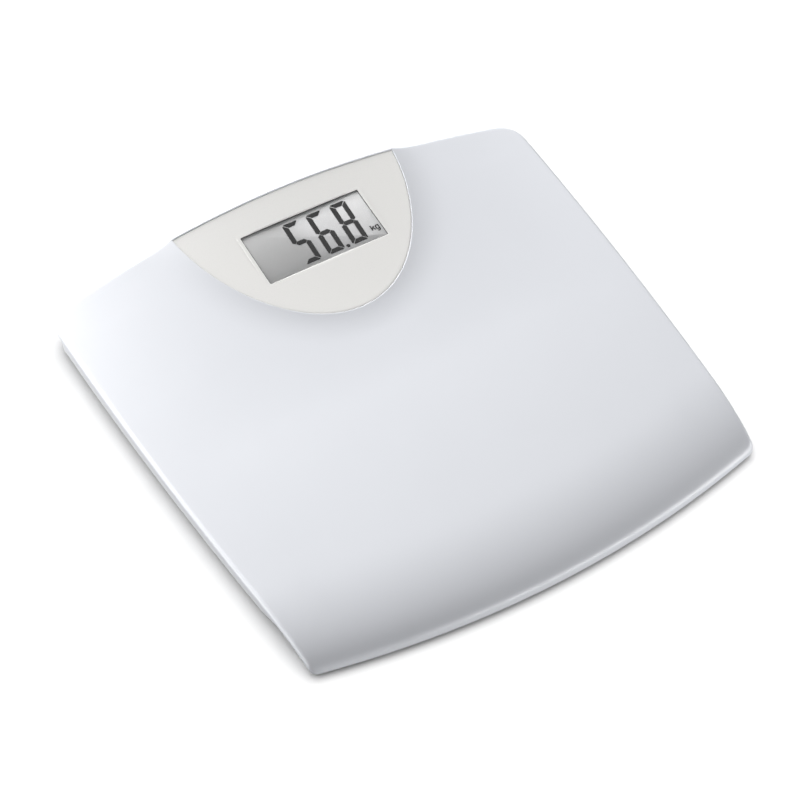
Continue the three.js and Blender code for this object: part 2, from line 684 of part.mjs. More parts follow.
const FEET = [-1, 1].flatMap((end) => [-1, 1].map((side) => {
  const y = end * (HALF_DEPTH - FOOT_END_INSET);
  return {
    name: `${end < 0 ? 'front' : 'rear'}_${side < 0 ? 'left' : 'right'}`,
    side,
    end,
    x: side * (halfWidth(y) - FOOT_SIDE_INSET),
    y,
  };
}));

/** Rubber pad under a foot. */
function footPad({ x, y }) {
  return turned(x, y, [
    [0, 0], [PAD_RADIUS - 0.8, 0], [PAD_RADIUS, 0.8], [PAD_RADIUS, PAD_THICK], [0, PAD_THICK],
  ]);
}

/** Foot: a shallow cup for the pad, a flange that keeps it in, and a stem. */
function foot({ x, y }) {
  const cup = PAD_RADIUS + GAP;
  const mouth = PAD_THICK - 0.8;
  return turned(x, y, [
    [0, PAD_THICK + GAP], [cup, PAD_THICK + GAP], [cup, mouth], [FOOT_RADIUS - 0.6, mouth],
    [FOOT_RADIUS, mouth + 0.6], [FOOT_RADIUS, FLANGE_BOTTOM],
    [FOOT_RADIUS + FOOT_FLANGE, FLANGE_BOTTOM], [FOOT_RADIUS + FOOT_FLANGE, FLANGE_TOP],
    [6, FLANGE_TOP], [5, STEM_TOP], [0, STEM_TOP],
  ]);
}

/** Steel load cell: a square plate with a slot that frees its tongue. */
function loadCell({ x, y, side }) {
  const outline = roundedRectangle(CELL_SIZE, CELL_SIZE, 3);
  const slot = new THREE.Path();
  const { far, near, reach } = CELL_SLOT;
  slot.moveTo(-reach, far);
  slot.lineTo(-reach, near);
  slot.lineTo(reach - 2.5, near);
  slot.lineTo(reach - 2.5, -near);
  slot.lineTo(-reach, -near);
  slot.lineTo(-reach, -far);
  slot.lineTo(reach, -far);
  slot.lineTo(reach, far);
  outline.holes.push(slot);
  const settings = { depth: CELL_THICK, bevelEnabled: false, curveSegments: 2 };
  const geometry = new THREE.ExtrudeGeometry(outline, settings);
  return geometry.rotateZ(side < 0 ? 0 : Math.PI).translate(x, y, CELL_BOTTOM);
}

/** Moulded carrier that seats a load cell over its foot. */
function cellCarrier({ x, y }) {
  const pocket = CELL_SIZE + 2 * GAP;
  const lugs = [-1, 1].map((side) =>
    plate(x + side * (LUG_CENTRE - 1), y, LUG_BOTTOM, LUG_BOTTOM + LUG_THICK,
      LUG_LENGTH + 2, LUG_WIDTH, 2));
  const holes = [-1, 1].map((side) =>
    bar(x + side * LUG_CENTRE, y, LUG_BOTTOM - 1, LUG_BOTTOM + LUG_THICK + 1,
      CARRIER_SCREW.shaft + GAP));
  const frame = plate(x, y, FLOOR_TOP + GAP, CELL_TOP + CARRIER_LIP,
    CARRIER_SIZE, CARRIER_SIZE, CARRIER_CORNER);
  return carve(frame, {
    join: lugs,
    cut: [
      block(x, y, LUG_BOTTOM, CELL_TOP + 4, pocket, pocket),
      bar(x, y, 0, LUG_BOTTOM + 1, FOOT_RADIUS + FOOT_FLANGE + FOOT_CLEARANCE, 24),
      ...holes,
    ],
  });
}

/** A screw through a carrier's lug, head up. */
function carrierScrew({ x, y }, side) {
  const { shaft, head, headHeight } = CARRIER_SCREW;
  const seat = LUG_BOTTOM + LUG_THICK + GAP;
  return turned(x + side * LUG_CENTRE, y, [
    [0, LUG_SCREW_TIP], [shaft, LUG_SCREW_TIP + shaft * 0.6], [shaft, seat], [head, seat],
    [head, seat + headHeight * 0.55], [head * 0.75, seat + headHeight], [0, seat + headHeight],
  ], 8);
}

/** Everything at one corner. */
function cornerPieces(place) {
  const { name } = place;
  return [
    node(`foot_pad_${name}`, footPad(place), PAD_RUBBER),
    node(`foot_${name}`, foot(place), WHITE_ABS),
    node(`load_cell_${name}`, loadCell(place), SPRING_STEEL),
    node(`cell_carrier_${name}`, cellCarrier(place), WHITE_ABS),
    node(`carrier_screw_${name}_outer`, carrierScrew(place, place.side), ZINC),
    node(`carrier_screw_${name}_inner`, carrierScrew(place, -place.side), ZINC),
  ];
}

// ---- battery bay, door and unit button ----------------------------------

const DOOR_BOTTOM = BASE_BOTTOM + 0.1;
const DOOR_TOP = DOOR_BOTTOM + DOOR_THICK;
const TAB_BOTTOM = DOOR_TOP - DOOR_TAB_THICK;
const RECESS_TOP = DOOR_TOP + GAP;
const COIN_BOTTOM = RECESS_TOP + GAP;
const COIN_TOP = COIN_BOTTOM + COIN_THICK;
const LEAF_BOTTOM = COIN_TOP + GAP;
const BAY_ROOF = LEAF_BOTTOM + CONTACT_THICK + GAP;
const BAY_TOP = BAY_ROOF + BAY_CEILING;
const TAB_ROWS = [-1, 1].map((end) => BAY_Y + end * (DOOR_LENGTH / 2 - 7));
const SIDE_CONTACT_X = COIN_RADIUS + 2 * GAP + CONTACT_THICK / 2;
const DOOR_RECESS_LENGTH = DOOR_LENGTH + DOOR_TRAVEL + 2 * GAP;
const DOOR_RECESS_Y = BAY_Y - DOOR_TRAVEL / 2;
const BAY_WIDTH = DOOR_WIDTH + 2 * (GAP + DOOR_TAB_REACH + BAY_WALL);

/** Door that slides towards the user, on tabs under the tray's lips. */
function batteryDoor() {
  const panel = plate(0, BAY_Y, DOOR_BOTTOM, DOOR_TOP, DOOR_WIDTH, DOOR_LENGTH, 2);
  const tabs = TAB_ROWS.map((y) => block(0, y, TAB_BOTTOM, DOOR_TOP,
    DOOR_WIDTH + 2 * DOOR_TAB_REACH, DOOR_TAB_LENGTH));
  return node('battery_door', carve(panel, { join: tabs }), WHITE_ABS);
}

/** Coin cell with its rounded rim. */
function coinCell() {
  return node('coin_cell', turned(0, BAY_Y, [
    [0, COIN_BOTTOM], [COIN_RADIUS - 1.4, COIN_BOTTOM], [COIN_RADIUS - 1.2, COIN_BOTTOM + 0.4],
    [COIN_RADIUS, COIN_BOTTOM + 0.7], [COIN_RADIUS, COIN_TOP - 0.3],
    [COIN_RADIUS - 0.3, COIN_TOP], [0, COIN_TOP],
  ], 28), NICKEL);
}

/** Leaf spring over the cell and the contact at its side. */
function batteryContacts() {
  const leaf = block(0, BAY_Y, LEAF_BOTTOM, LEAF_BOTTOM + CONTACT_THICK,
    CONTACT_WIDTH, 2 * COIN_RADIUS - 4);
  const side = block(SIDE_CONTACT_X, BAY_Y, COIN_BOTTOM, BAY_ROOF - GAP,
    CONTACT_THICK, CONTACT_WIDTH);
  return [
    node('battery_contact_leaf', leaf, NICKEL),
    node('battery_contact_side', side, NICKEL),
  ];
}

/** What the battery bay takes out of the tray. */
function bayCuts() {
  const wide = DOOR_WIDTH + 2 * GAP;
  const tabbed = wide + 2 * DOOR_TAB_REACH;
  const cuts = [
    plate(0, DOOR_RECESS_Y, 0, RECESS_TOP, wide, DOOR_RECESS_LENGTH, 2),
    block(0, DOOR_RECESS_Y, TAB_BOTTOM - GAP, RECESS_TOP, tabbed, DOOR_RECESS_LENGTH - 4),
    bar(0, BAY_Y, 0, BAY_ROOF, COIN_RADIUS + GAP, 28),
    block(SIDE_CONTACT_X - 1, BAY_Y, 0, BAY_ROOF,
      CONTACT_THICK + 2 * (GAP + 1), CONTACT_WIDTH + 2 * GAP),
  ];
  for (const y of TAB_ROWS) {
    cuts.push(block(0, y - DOOR_TRAVEL, 0, RECESS_TOP, tabbed, DOOR_TAB_LENGTH + 2 * GAP));
  }
  return cuts;
}

const BUTTON_FLANGE_BOTTOM = FLOOR_TOP + GAP;
const BUTTON_TOP = BUTTON_FLANGE_BOTTOM + 0.9;
const PLUNGER_BOTTOM = BUTTON_TOP + BUTTON_TRAVEL + GAP;
const SWITCH_BOTTOM = PLUNGER_BOTTOM + 0.5;
const SWITCH_TOP = SWITCH_BOTTOM + SWITCH_HEIGHT - 0.5;
const BUTTON_BOARD_BOTTOM = SWITCH_TOP + GAP;
const BUTTON_BOARD_TOP = BUTTON_BOARD_BOTTOM + BUTTON_BOARD.thick;
const STAKES = [-1, 1].map((side) => BUTTON_X + side * (BUTTON_BOARD.width / 2 - 2.6));
const STAKE_RADIUS = 1;

/** Button under the tray, its switch and the small board that holds it. */
function unitButton() {
  const bottom = BASE_BOTTOM + BUTTON_RECESS;
  const flange = BUTTON_RADIUS + BUTTON_FLANGE;
  const cap = turned(BUTTON_X, BAY_Y, [
    [0, bottom], [BUTTON_RADIUS - 0.5, bottom], [BUTTON_RADIUS, bottom + 0.5],
    [BUTTON_RADIUS, BUTTON_FLANGE_BOTTOM], [flange, BUTTON_FLANGE_BOTTOM],
    [flange, BUTTON_TOP], [0, BUTTON_TOP],
  ]);
  const body = carve(
    block(BUTTON_X, BAY_Y, SWITCH_BOTTOM, SWITCH_TOP, SWITCH_SIZE, SWITCH_SIZE),
    { join: [bar(BUTTON_X, BAY_Y, PLUNGER_BOTTOM, SWITCH_TOP - 1, SWITCH_PLUNGER)] });
  const holes = STAKES.map((x) => bar(x, BAY_Y, BUTTON_BOARD_BOTTOM - 1,
    BUTTON_BOARD_TOP + 1, STAKE_RADIUS + GAP));
  const board = carve(plate(BUTTON_X, BAY_Y, BUTTON_BOARD_BOTTOM, BUTTON_BOARD_TOP,
    BUTTON_BOARD.width, BUTTON_BOARD.depth, 1), { cut: holes });
  return [
    node('unit_button', cap, BUTTON_GREY),
    node('unit_switch', body, SWITCH_BLACK),
    node('button_board', board, BOARD_GREEN),
  ];
}

// ---- tray ---------------------------------------------------------------

/** Inset of the tray's wall: more towards the front, behind the cover's lip. */
function baseOutline(extra = 0) {
  return planOutline(BASE_SIDE_INSET + extra).map(({ x, y }) => {
    const front = THREE.MathUtils.smoothstep(-y, HALF_DEPTH - 40, HALF_DEPTH - 14);
    const back = THREE.MathUtils.smoothstep(y, HALF_DEPTH - 12, HALF_DEPTH - 2);
    const inward = front * (BASE_FRONT_INSET - BASE_SIDE_INSET);
    const side = Math.min(1, Math.abs(x) / FRONT_HALF);
    return new THREE.Vector2(
      x - Math.sign(x) * side * inward,
      y + inward - back * BACK_SHADOW);
  });
}

/** Screw bosses, button stakes, ribs and the bay's block, inside the tray. */
function baseFittings() {
  const root = FLOOR_TOP - 1;
  const fittings = HOUSING_SCREWS.map(({ x, y }) =>
    bar(x, y, root, BASE_BOSS_TOP, SCREW_BOSS, 12));
  for (const { x, y } of FEET) {
    for (const side of [-1, 1]) {
      fittings.push(bar(x + side * LUG_CENTRE, y, root, LUG_BOTTOM - GAP,
        CARRIER_SCREW.shaft + GAP + BOSS_WALL));
    }
  }
  fittings.push(plate(0, DOOR_RECESS_Y, root, BAY_TOP,
    BAY_WIDTH, DOOR_RECESS_LENGTH + 2 * BAY_WALL, 3));
  for (const x of STAKES) {
    fittings.push(bar(x, BAY_Y, root, BUTTON_BOARD_BOTTOM - GAP, STAKE_RADIUS + 1));
    fittings.push(bar(x, BAY_Y, root, BUTTON_BOARD_TOP + 0.3, STAKE_RADIUS));
  }
  const carrierEdge = HALF_DEPTH - FOOT_END_INSET - CARRIER_HALF;
  for (const y of [FRONT_RIB_CLEAR - carrierEdge, carrierEdge - REAR_RIB_CLEAR]) {
    const length = 2 * (halfWidth(y) - COVER_WALL - TONGUE_WALL - BASE_TAPER);
    fittings.push(block(0, y, root, BASE_RIB_TOP, length, RIB_THICK));
  }
  return fittings;
}

/** The tray: floor, walls and fittings, with the holes it needs. */
function baseHousing() {
  const rimTop = SKIRT_BOTTOM.map((bottom) => Math.max(bottom - GROOVE, FLOOR_TOP + 0.4));
  const tongueHeight = SKIRT + GROOVE - COVER_WALL - 3 * GAP;
  const tongueTop = rimTop.map((top, index) => top
    + THREE.MathUtils.clamp(SKIRT_BOTTOM[index] - LIP_BOTTOM, 0.4, tongueHeight));
  const tongueInset = COVER_WALL + 2 * GAP - BASE_SIDE_INSET;
  const innerInset = tongueInset + TONGUE_WALL;
  const rings = [
    lift(shrink(baseOutline(innerInset + BASE_TAPER), 0.4), () => FLOOR_TOP),
    lift(baseOutline(innerInset + BASE_TAPER), () => FLOOR_TOP),
    lift(baseOutline(innerInset), (point, index) => Math.min(FLOOR_TOP + 2.5, rimTop[index] - 0.2)),
    lift(baseOutline(innerInset), (point, index) => tongueTop[index]),
    lift(baseOutline(tongueInset), (point, index) => tongueTop[index]),
    lift(baseOutline(tongueInset - 0.2), (point, index) => rimTop[index]),
    lift(baseOutline(), (point, index) => rimTop[index]),
    lift(baseOutline(), (point, index) => Math.min(BASE_BOTTOM + 2.2, rimTop[index] - 0.2)),
    lift(baseOutline(BASE_TAPER * 0.4), () => BASE_BOTTOM + 0.7),
    lift(baseOutline(BASE_TAPER), () => BASE_BOTTOM),
    lift(shrink(baseOutline(BASE_TAPER), 0.4), () => BASE_BOTTOM),
  ];
  const cuts = bayCuts();
  cuts.push(bar(BUTTON_X, BAY_Y, 0, FLOOR_TOP + 1, BUTTON_RADIUS + GAP, 20));
  for (const { x, y } of FEET) {
    cuts.push(bar(x, y, 0, FLOOR_TOP + 2, FOOT_RADIUS + FOOT_CLEARANCE, 24));
    for (const side of [-1, 1]) {
      cuts.push(bar(x + side * LUG_CENTRE, y, LUG_SCREW_TIP - GAP, LUG_BOTTOM + 1,
        CARRIER_SCREW.shaft + GAP));
    }
  }
  const seat = BASE_BOSS_TOP - BOSS_SEAT;
  for (const { x, y } of HOUSING_SCREWS) {
    cuts.push(bar(x, y, 0, seat, HOUSING_SCREW.head + GAP, 12));
    cuts.push(bar(x, y, 0, BASE_BOSS_TOP + 1, HOUSING_SCREW.shaft + GAP));
  }
  return node('base_housing', carve(skin(rings), { join: baseFittings(), cut: cuts }), WHITE_ABS);
}

/** Screws that hold tray and cover together, heads under the tray. */
function housingScrews() {
  const seat = BASE_BOSS_TOP - BOSS_SEAT - GAP;
  return HOUSING_SCREWS.map(({ name, x, y }) =>
    node(`housing_screw_${name}`, screw(x, y, seat, HOUSING_SCREW_TIP, HOUSING_SCREW), ZINC));
}

// ---- cables -------------------------------------------------------------

/** A round cable along a smooth route. */
function cable(route) {
  const path = new THREE.CatmullRomCurve3(route, false, 'centripetal');
  const section = new THREE.Shape();
  for (let i = 0; i < CABLE_SIDES; i += 1) {
    const angle = i / CABLE_SIDES * Math.PI * 2;
    const [x, y] = [CABLE_RADIUS * Math.cos(angle), CABLE_RADIUS * Math.sin(angle)];
    if (i === 0) {
      section.moveTo(x, y);
    } else {
      section.lineTo(x, y);
    }
  }
  const steps = Math.ceil(path.getLength() / (10 * CABLE_RADIUS));
  return new THREE.ExtrudeGeometry(section, { extrudePath: path, steps, bevelEnabled: false });
}

/** A point just under the main board, at (x, y) in the display's frame. */
function boardPoint(x, y, below) {
  return new THREE.Vector3(x, y, BOARD_BOTTOM - below).applyMatrix4(DISPLAY_FRAME);
}

/** Depth at a share of the way from the battery bay to the display. */
function onTheWay(share) {
  return THREE.MathUtils.lerp(BAY_Y, DISPLAY_Y, share);
}

/** Cables from the load cells, the battery and the switch to the board. */
function cables() {
  const over = CELL_TOP + CARRIER_LIP + GAP + CABLE_RADIUS;
  const runX = GLASS_WIDTH / 2 + CABLE_RUN;
  const result = FEET.map((place) => {
    const { side, end } = place;
    const inner = place.x - side * (CARRIER_SIZE / 2 + 3);
    const landing = side * (end < 0 ? FRONT_LANDING : REAR_LANDING);
    const route = [
      new THREE.Vector3(place.x - side * 8, place.y, CELL_TOP + GAP + CABLE_RADIUS),
      new THREE.Vector3(place.x - side * 14, place.y + end * -4, over),
      new THREE.Vector3(inner, place.y - end * 16, over),
    ];
    if (end < 0) {
      route.push(
        new THREE.Vector3(side * runX, place.y + 36, CABLE_LEVEL),
        new THREE.Vector3(side * runX, onTheWay(0.16), CABLE_LEVEL),
        new THREE.Vector3(side * (runX - 4), onTheWay(0.5), CABLE_LEVEL));
    } else {
      route.push(new THREE.Vector3(side * (runX - 2), place.y - 28, CABLE_LEVEL + 1));
    }
    route.push(boardPoint(landing, -19, LANDING_DROP), boardPoint(landing, -18, CABLE_RADIUS));
    return node(`sensor_cable_${place.name}`, cable(route), CABLE_JACKET);
  });
  const bayX = BAY_WIDTH / 2 + 4 * GAP;
  result.push(node('battery_cable', cable([
    new THREE.Vector3(bayX, BAY_Y + 6, CABLE_LEVEL),
    new THREE.Vector3(bayX + 6, BAY_Y + 20, CABLE_LEVEL),
    new THREE.Vector3(bayX - 4, onTheWay(0.35), CABLE_LEVEL),
    new THREE.Vector3(bayX - 10, onTheWay(0.65), CABLE_LEVEL + 1),
    boardPoint(8, -22, LANDING_DROP),
    boardPoint(8, -20, CABLE_RADIUS),
  ]), CABLE_JACKET));
  result.push(node('button_cable', cable([
    new THREE.Vector3(BUTTON_X, BAY_Y + 8, SWITCH_TOP - 1),
    new THREE.Vector3(BUTTON_X, BAY_Y + 18, CABLE_LEVEL),
    new THREE.Vector3(BUTTON_X - 10, onTheWay(0.32), CABLE_LEVEL),
    new THREE.Vector3(BUTTON_X - 20, onTheWay(0.63), CABLE_LEVEL + 1),
    boardPoint(24, -22, LANDING_DROP),
    boardPoint(24, -20, CABLE_RADIUS),
  ]), CABLE_JACKET));
  return result;
}

// ---- the whole scale ----------------------------------------------------

/** Builds the scale, standing on z = 0 over the middle of its footprint. */
function bathroomScale() {
  const scale = new THREE.Group();
  scale.position.y = (FRONT_BOW - BACK_BOW) / 2;
  scale.add(
    topCover(), baseHousing(), displayBezel(), displayStack(),
    batteryDoor(), coinCell(), ...batteryContacts(), ...unitButton(),
    ...housingScrews(), ...FEET.flatMap(cornerPieces), ...cables());
  return scale;
}

export default bathroomScale();
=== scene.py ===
"""Digital bathroom scale: a moulded platform on a shallow tray, with a display pod.

Lengths are millimetres in the scale's own plan, where y is 0 half way along its
sides, -y is the user's end and +z is up. Meshes are made in metres in the row frame.
"""

import logging
import math
from collections.abc import Callable, Sequence
from dataclasses import dataclass, field
from enum import Enum
from typing import Any

import bmesh
import bpy
import numpy as np
from mathutils import Matrix, Vector


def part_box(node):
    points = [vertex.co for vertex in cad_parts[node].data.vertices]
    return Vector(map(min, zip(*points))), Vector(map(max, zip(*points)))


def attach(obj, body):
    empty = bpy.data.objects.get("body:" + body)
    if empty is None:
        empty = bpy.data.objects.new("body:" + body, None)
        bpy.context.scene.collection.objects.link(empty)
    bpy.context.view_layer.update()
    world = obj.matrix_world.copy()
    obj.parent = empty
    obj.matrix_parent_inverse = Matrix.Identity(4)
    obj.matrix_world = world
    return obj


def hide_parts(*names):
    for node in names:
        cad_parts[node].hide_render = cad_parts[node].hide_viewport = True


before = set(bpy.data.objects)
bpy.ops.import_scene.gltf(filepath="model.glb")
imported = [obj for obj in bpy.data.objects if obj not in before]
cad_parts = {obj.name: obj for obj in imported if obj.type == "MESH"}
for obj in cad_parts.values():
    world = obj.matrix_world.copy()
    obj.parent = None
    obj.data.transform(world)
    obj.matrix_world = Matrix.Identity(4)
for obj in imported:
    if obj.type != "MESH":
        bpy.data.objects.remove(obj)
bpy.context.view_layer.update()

LOG = logging.getLogger("bathroom_scale")
MM = 0.001
Points = np.ndarray
Height = Callable[[Points, Points], Points]


# ---- colour and nodes -----------------------------------------------------


def linear(hex_colour: str) -> tuple[float, float, float, float]:
    """Turns an sRGB hex colour into linear light.

    Args:
        hex_colour: Six hex digits after a hash.

    Returns:
        Linear red, green, blue, and an alpha of 1.
    """
    shares = [int(hex_colour[i : i + 2], 16) / 255 for i in (1, 3, 5)]
    toe = [s / 12.92 if s <= 0.04045 else ((s + 0.055) / 1.055) ** 2.4 for s in shares]
    return (*toe, 1.0)


def add_node(
    tree: bpy.types.NodeTree, kind: str, inputs: dict[str | int, Any], **settings: Any
) -> bpy.types.Node:
    """Adds a node with its settings, and fills or links its inputs.

    Args:
        tree: The node tree to add to.
        kind: Blender's name for the node type.
        inputs: A value, or the output to link from, for each input socket.
        **settings: The node's own properties.

    Returns:
        The new node.
    """
    node = tree.nodes.new(kind)
    for key, value in settings.items():
        setattr(node, key, value)
    for key, value in inputs.items():
        if isinstance(value, bpy.types.NodeSocket):
            tree.links.new(value, node.inputs[key])
        else:
            node.inputs[key].default_value = value
    return node


def per_metre(size_mm: float) -> float:
    """Noise scale whose features are about a size in millimetres."""
    return 1 / (size_mm * MM)


class Pattern(Enum):
    """What a surface's fine relief looks like."""

    SPARK = "fine round grain of a spark-eroded mould"
    BRUSHED = "straight fine scratches"
    SMOOTH = "faint unevenness only"


@dataclass(frozen=True)
class Finish:
    """A real material and how its surface was made.

    Attributes:
        name: The material's name.
        pale: sRGB hex of its lighter patches.
        deep: sRGB hex of its darker patches.
        roughness: Mean roughness of the surface.
        metallic: 1 for a bare metal.
        ior: Index of refraction, for what isn't a metal.
        pattern: Kind of relief.
        grain: Size of the relief's features, in mm.
        relief: Depth of the relief, in mm.
        patch: Size of the colour's patches, in mm.
        swing: How far the roughness strays either way.
        coat: Weight of a clear coat.
        alpha: Share of light that doesn't go straight through.
    """

    name: str
    pale: str
    deep: str
    roughness: float
    metallic: float = 0.0
    ior: float = 1.5
    pattern: Pattern = Pattern.SPARK
    grain: float = 0.5
    relief: float = 0.01
    patch: float = 40.0
    swing: float = 0.04
    coat: float = 0.0
    alpha: float = 1.0

    def tree(self) -> tuple[bpy.types.Material, bpy.types.NodeTree]:
        """Starts an empty node material of this name."""
        material = bpy.data.materials.new(self.name)
        material.use_nodes = True
        material.node_tree.nodes.clear()
        material.diffuse_color = linear(self.pale)
        return material, material.node_tree

    def place(self, tree: bpy.types.NodeTree, stretch: Sequence[float]) -> bpy.types.NodeSocket:
        """Object coordinates, stretched along each axis."""
        where = add_node(tree, "ShaderNodeTexCoord", {}).outputs["Object"]
        return add_node(
            tree, "ShaderNodeMapping", {"Vector": where, "Scale": tuple(stretch)}
        ).outputs[0]

    def colour(self, tree: bpy.types.NodeTree, place: bpy.types.NodeSocket) -> bpy.types.NodeSocket:
        """Soft patches between the pale and the deep colour."""
        patches = add_node(
            tree,
            "ShaderNodeTexNoise",
            {"Vector": place, "Scale": per_metre(self.patch), "Detail": 3.0},
        )
        return add_node(
            tree,
            "ShaderNodeMix",
            {"Factor": patches.outputs[0], 6: linear(self.deep), 7: linear(self.pale)},
            data_type="RGBA",
        ).outputs[2]

    def height(self, tree: bpy.types.NodeTree, place: bpy.types.NodeSocket) -> bpy.types.NodeSocket:
        """Relief of the surface, from 0 to 1."""
        detail = {Pattern.SPARK: 2.0, Pattern.BRUSHED: 4.0, Pattern.SMOOTH: 1.0}
        return add_node(
            tree,
            "ShaderNodeTexNoise",
            {"Vector": place, "Scale": per_metre(self.grain), "Detail": detail[self.pattern]},
        ).outputs[0]

    def build(self) -> bpy.types.Material:
        """Builds the material.

        Returns:
            The finished node material.
        """
        material, tree = self.tree()
        even = self.place(tree, (1, 1, 1))
        grained = self.place(tree, (0.04, 1, 1)) if self.pattern is Pattern.BRUSHED else even
        relief = self.height(tree, grained)
        shine = add_node(
            tree,
            "ShaderNodeMapRange",
            {
                "Value": relief,
                "From Min": 0.3,
                "From Max": 0.7,
                "To Min": self.roughness - self.swing,
                "To Max": self.roughness + self.swing,
            },
        ).outputs[0]
        bump = add_node(
            tree,
            "ShaderNodeBump",
            {"Height": relief, "Strength": 1.0, "Distance": self.relief * MM},
        ).outputs[0]
        shader = add_node(
            tree,
            "ShaderNodeBsdfPrincipled",
            {"Base Color": self.colour(tree, even), "Roughness": shine, "Normal": bump},
        )
        shader.inputs["Metallic"].default_value = self.metallic
        if not self.metallic:
            shader.inputs["IOR"].default_value = self.ior
        shader.inputs["Coat Weight"].default_value = self.coat
        shader.inputs["Alpha"].default_value = self.alpha
        add_node(tree, "ShaderNodeOutputMaterial", {"Surface": shader.outputs[0]})
        return material


@dataclass(frozen=True)
class LcdPaintedReflectionFinish(Finish):
    """Polariser grey with a painted reflection: its colour brightens towards one corner as a
    reflection of the lights would.

    Attributes:
        origin: A point where the painted reflection is darkest, in metres.
        reach: From there to where the painted reflection is brightest, in metres.
    """

    origin: tuple[float, float, float] = (0, 0, 0)
    reach: tuple[float, float, float] = (0.08, 0.02, 0)

    def colour(self, tree: bpy.types.NodeTree, place: bpy.types.NodeSocket) -> bpy.types.NodeSocket:
        """A grey with a painted reflection, brightening in one soft step along the reach."""
        from_origin = add_node(
            tree, "ShaderNodeVectorMath", {0: place, 1: self.origin}, operation="SUBTRACT"
        ).outputs[0]
        length = Vector(self.reach).length_squared
        along = add_node(
            tree,
            "ShaderNodeVectorMath",
            {0: from_origin, 1: tuple(v / length for v in self.reach)},
            operation="DOT_PRODUCT",
        ).outputs["Value"]
        ramp = add_node(tree, "ShaderNodeValToRGB", {"Fac": along})
        # These stops paint the reflection of the lights on the display into its colour, darkest at
        # the origin.
        stops = ((0.0, self.deep), (0.36, "#aeaeae"), (0.5, "#cbcbcc"), (1.0, self.pale))
        while len(ramp.color_ramp.elements) < len(stops):
            ramp.color_ramp.elements.new(1.0)
        for element, (share, shade) in zip(ramp.color_ramp.elements, stops):
            element.position = share
            element.color = linear(shade)
        return ramp.outputs[0]


@dataclass(frozen=True)
class CircuitFinish(Finish):
    """Green solder mask over etched copper.

    Attributes:
        track: Pitch of the copper tracks, in mm.
    """

    track: float = 2.4

    def colour(self, tree: bpy.types.NodeTree, place: bpy.types.NodeSocket) -> bpy.types.NodeSocket:
        """Paler green where a track lies under the mask."""
        cells = add_node(
            tree,
            "ShaderNodeTexVoronoi",
            {"Vector": place, "Scale": per_metre(self.track), "Randomness": 0.35},
            distance="CHEBYCHEV",
            feature="F1",
        ).outputs["Distance"]
        edge = add_node(
            tree, "ShaderNodeMapRange", {"Value": cells, "From Min": 0.38, "From Max": 0.42}
        ).outputs[0]
        return add_node(
            tree,
            "ShaderNodeMix",
            {"Factor": edge, 6: linear(self.deep), 7: linear(self.pale)},
            data_type="RGBA",
        ).outputs[2]


# ABS injected into a fine spark-eroded mould: an even satin white.
COVER_WHITE = Finish(
    "moulded_abs_cover_white", "#e7e9ee", "#e4e6eb", 0.36, grain=0.45, relief=0.004
)
# The same ABS, straight from the mould and seldom handled.
TRAY_WHITE = Finish("moulded_abs_tray_white", "#e8eaed", "#e3e5e8", 0.42, grain=0.6, relief=0.006)
# A warmer white, glossier than the platform around it.
PANEL_WHITE = Finish(
    "moulded_abs_panel_warm_white", "#efeeeb", "#edecea", 0.3, grain=0.4, relief=0.002
)
# Clear cast acrylic, polished: all but invisible, so it is a film with a faint gloss.
LENS_CLEAR = Finish(
    "polished_acrylic_lens",
    "#ffffff",
    "#fbfcfc",
    0.03,
    ior=1.49,
    pattern=Pattern.SMOOTH,
    grain=80,
    relief=0.0,
    swing=0.01,
    alpha=0.03,
)
# Liquid crystal driven dark: a flat near-black under the polariser.
LCD_INK = Finish(
    "liquid_crystal_dark",
    "#0a0a0b",
    "#070708",
    0.8,
    ior=1.1,
    pattern=Pattern.SMOOTH,
    grain=5,
    relief=0.0,
    patch=6,
)
# A matt charcoal band just inside the window's edge, under the lens.
WINDOW_EDGE_CHARCOAL = Finish(
    "matt_charcoal_window_edge",
    "#57575a",
    "#4c4c4f",
    0.5,
    pattern=Pattern.SMOOTH,
    grain=1,
    relief=0.001,
    patch=5,
)
# Black ABS of the display's holder, straight from the mould.
HOLDER_BLACK = Finish("moulded_abs_holder_black", "#2c2d2f", "#262729", 0.5, relief=0.01)
# Carbon-loaded silicone strip, soft and matt.
STRIP_RUBBER = Finish("extruded_silicone_grey", "#5b5e62", "#4d5054", 0.75, grain=0.3, patch=4)
# Glass-fibre board under a glossy green solder mask.
BOARD_GREEN = CircuitFinish(
    "etched_circuit_board_green", "#3b8257", "#2a6341", 0.3, grain=0.8, relief=0.02, coat=0.3
)
# Epoxy dripped over the chip, black and wet-looking.
EPOXY_BLACK = Finish(
    "dripped_epoxy_black", "#1b1c1e", "#151617", 0.18, pattern=Pattern.SMOOTH, grain=2, relief=0.01
)
# Nylon switch body, black.
SWITCH_BLACK = Finish("moulded_nylon_black", "#26272a", "#202124", 0.4, relief=0.008)
# Grey ABS of the unit button.
BUTTON_GREY = Finish("moulded_abs_button_grey", "#92969b", "#888c91", 0.42, relief=0.01)
# Nickel plate on the coin cell and its contacts: bright, with handling marks.
NICKEL = Finish(
    "nickel_plated_steel",
    "#d5d3cd",
    "#c6c4be",
    0.24,
    metallic=1,
    pattern=Pattern.BRUSHED,
    grain=0.3,
    relief=0.002,
    patch=5,
    swing=0.07,
)
# Spring steel sheet, blanked and left with its rolling lines.
CELL_STEEL = Finish(
    "rolled_spring_steel",
    "#bcc0c4",
    "#a9adb1",
    0.32,
    metallic=1,
    pattern=Pattern.BRUSHED,
    grain=0.4,
    relief=0.004,
    patch=12,
    swing=0.08,
)
# Zinc plate on the screws, slightly blue and uneven.
ZINC = Finish(
    "zinc_plated_screw_steel",
    "#c9cfd4",
    "#a8afb6",
    0.33,
    metallic=1,
    grain=0.4,
    relief=0.006,
    patch=2,
    swing=0.08,
)
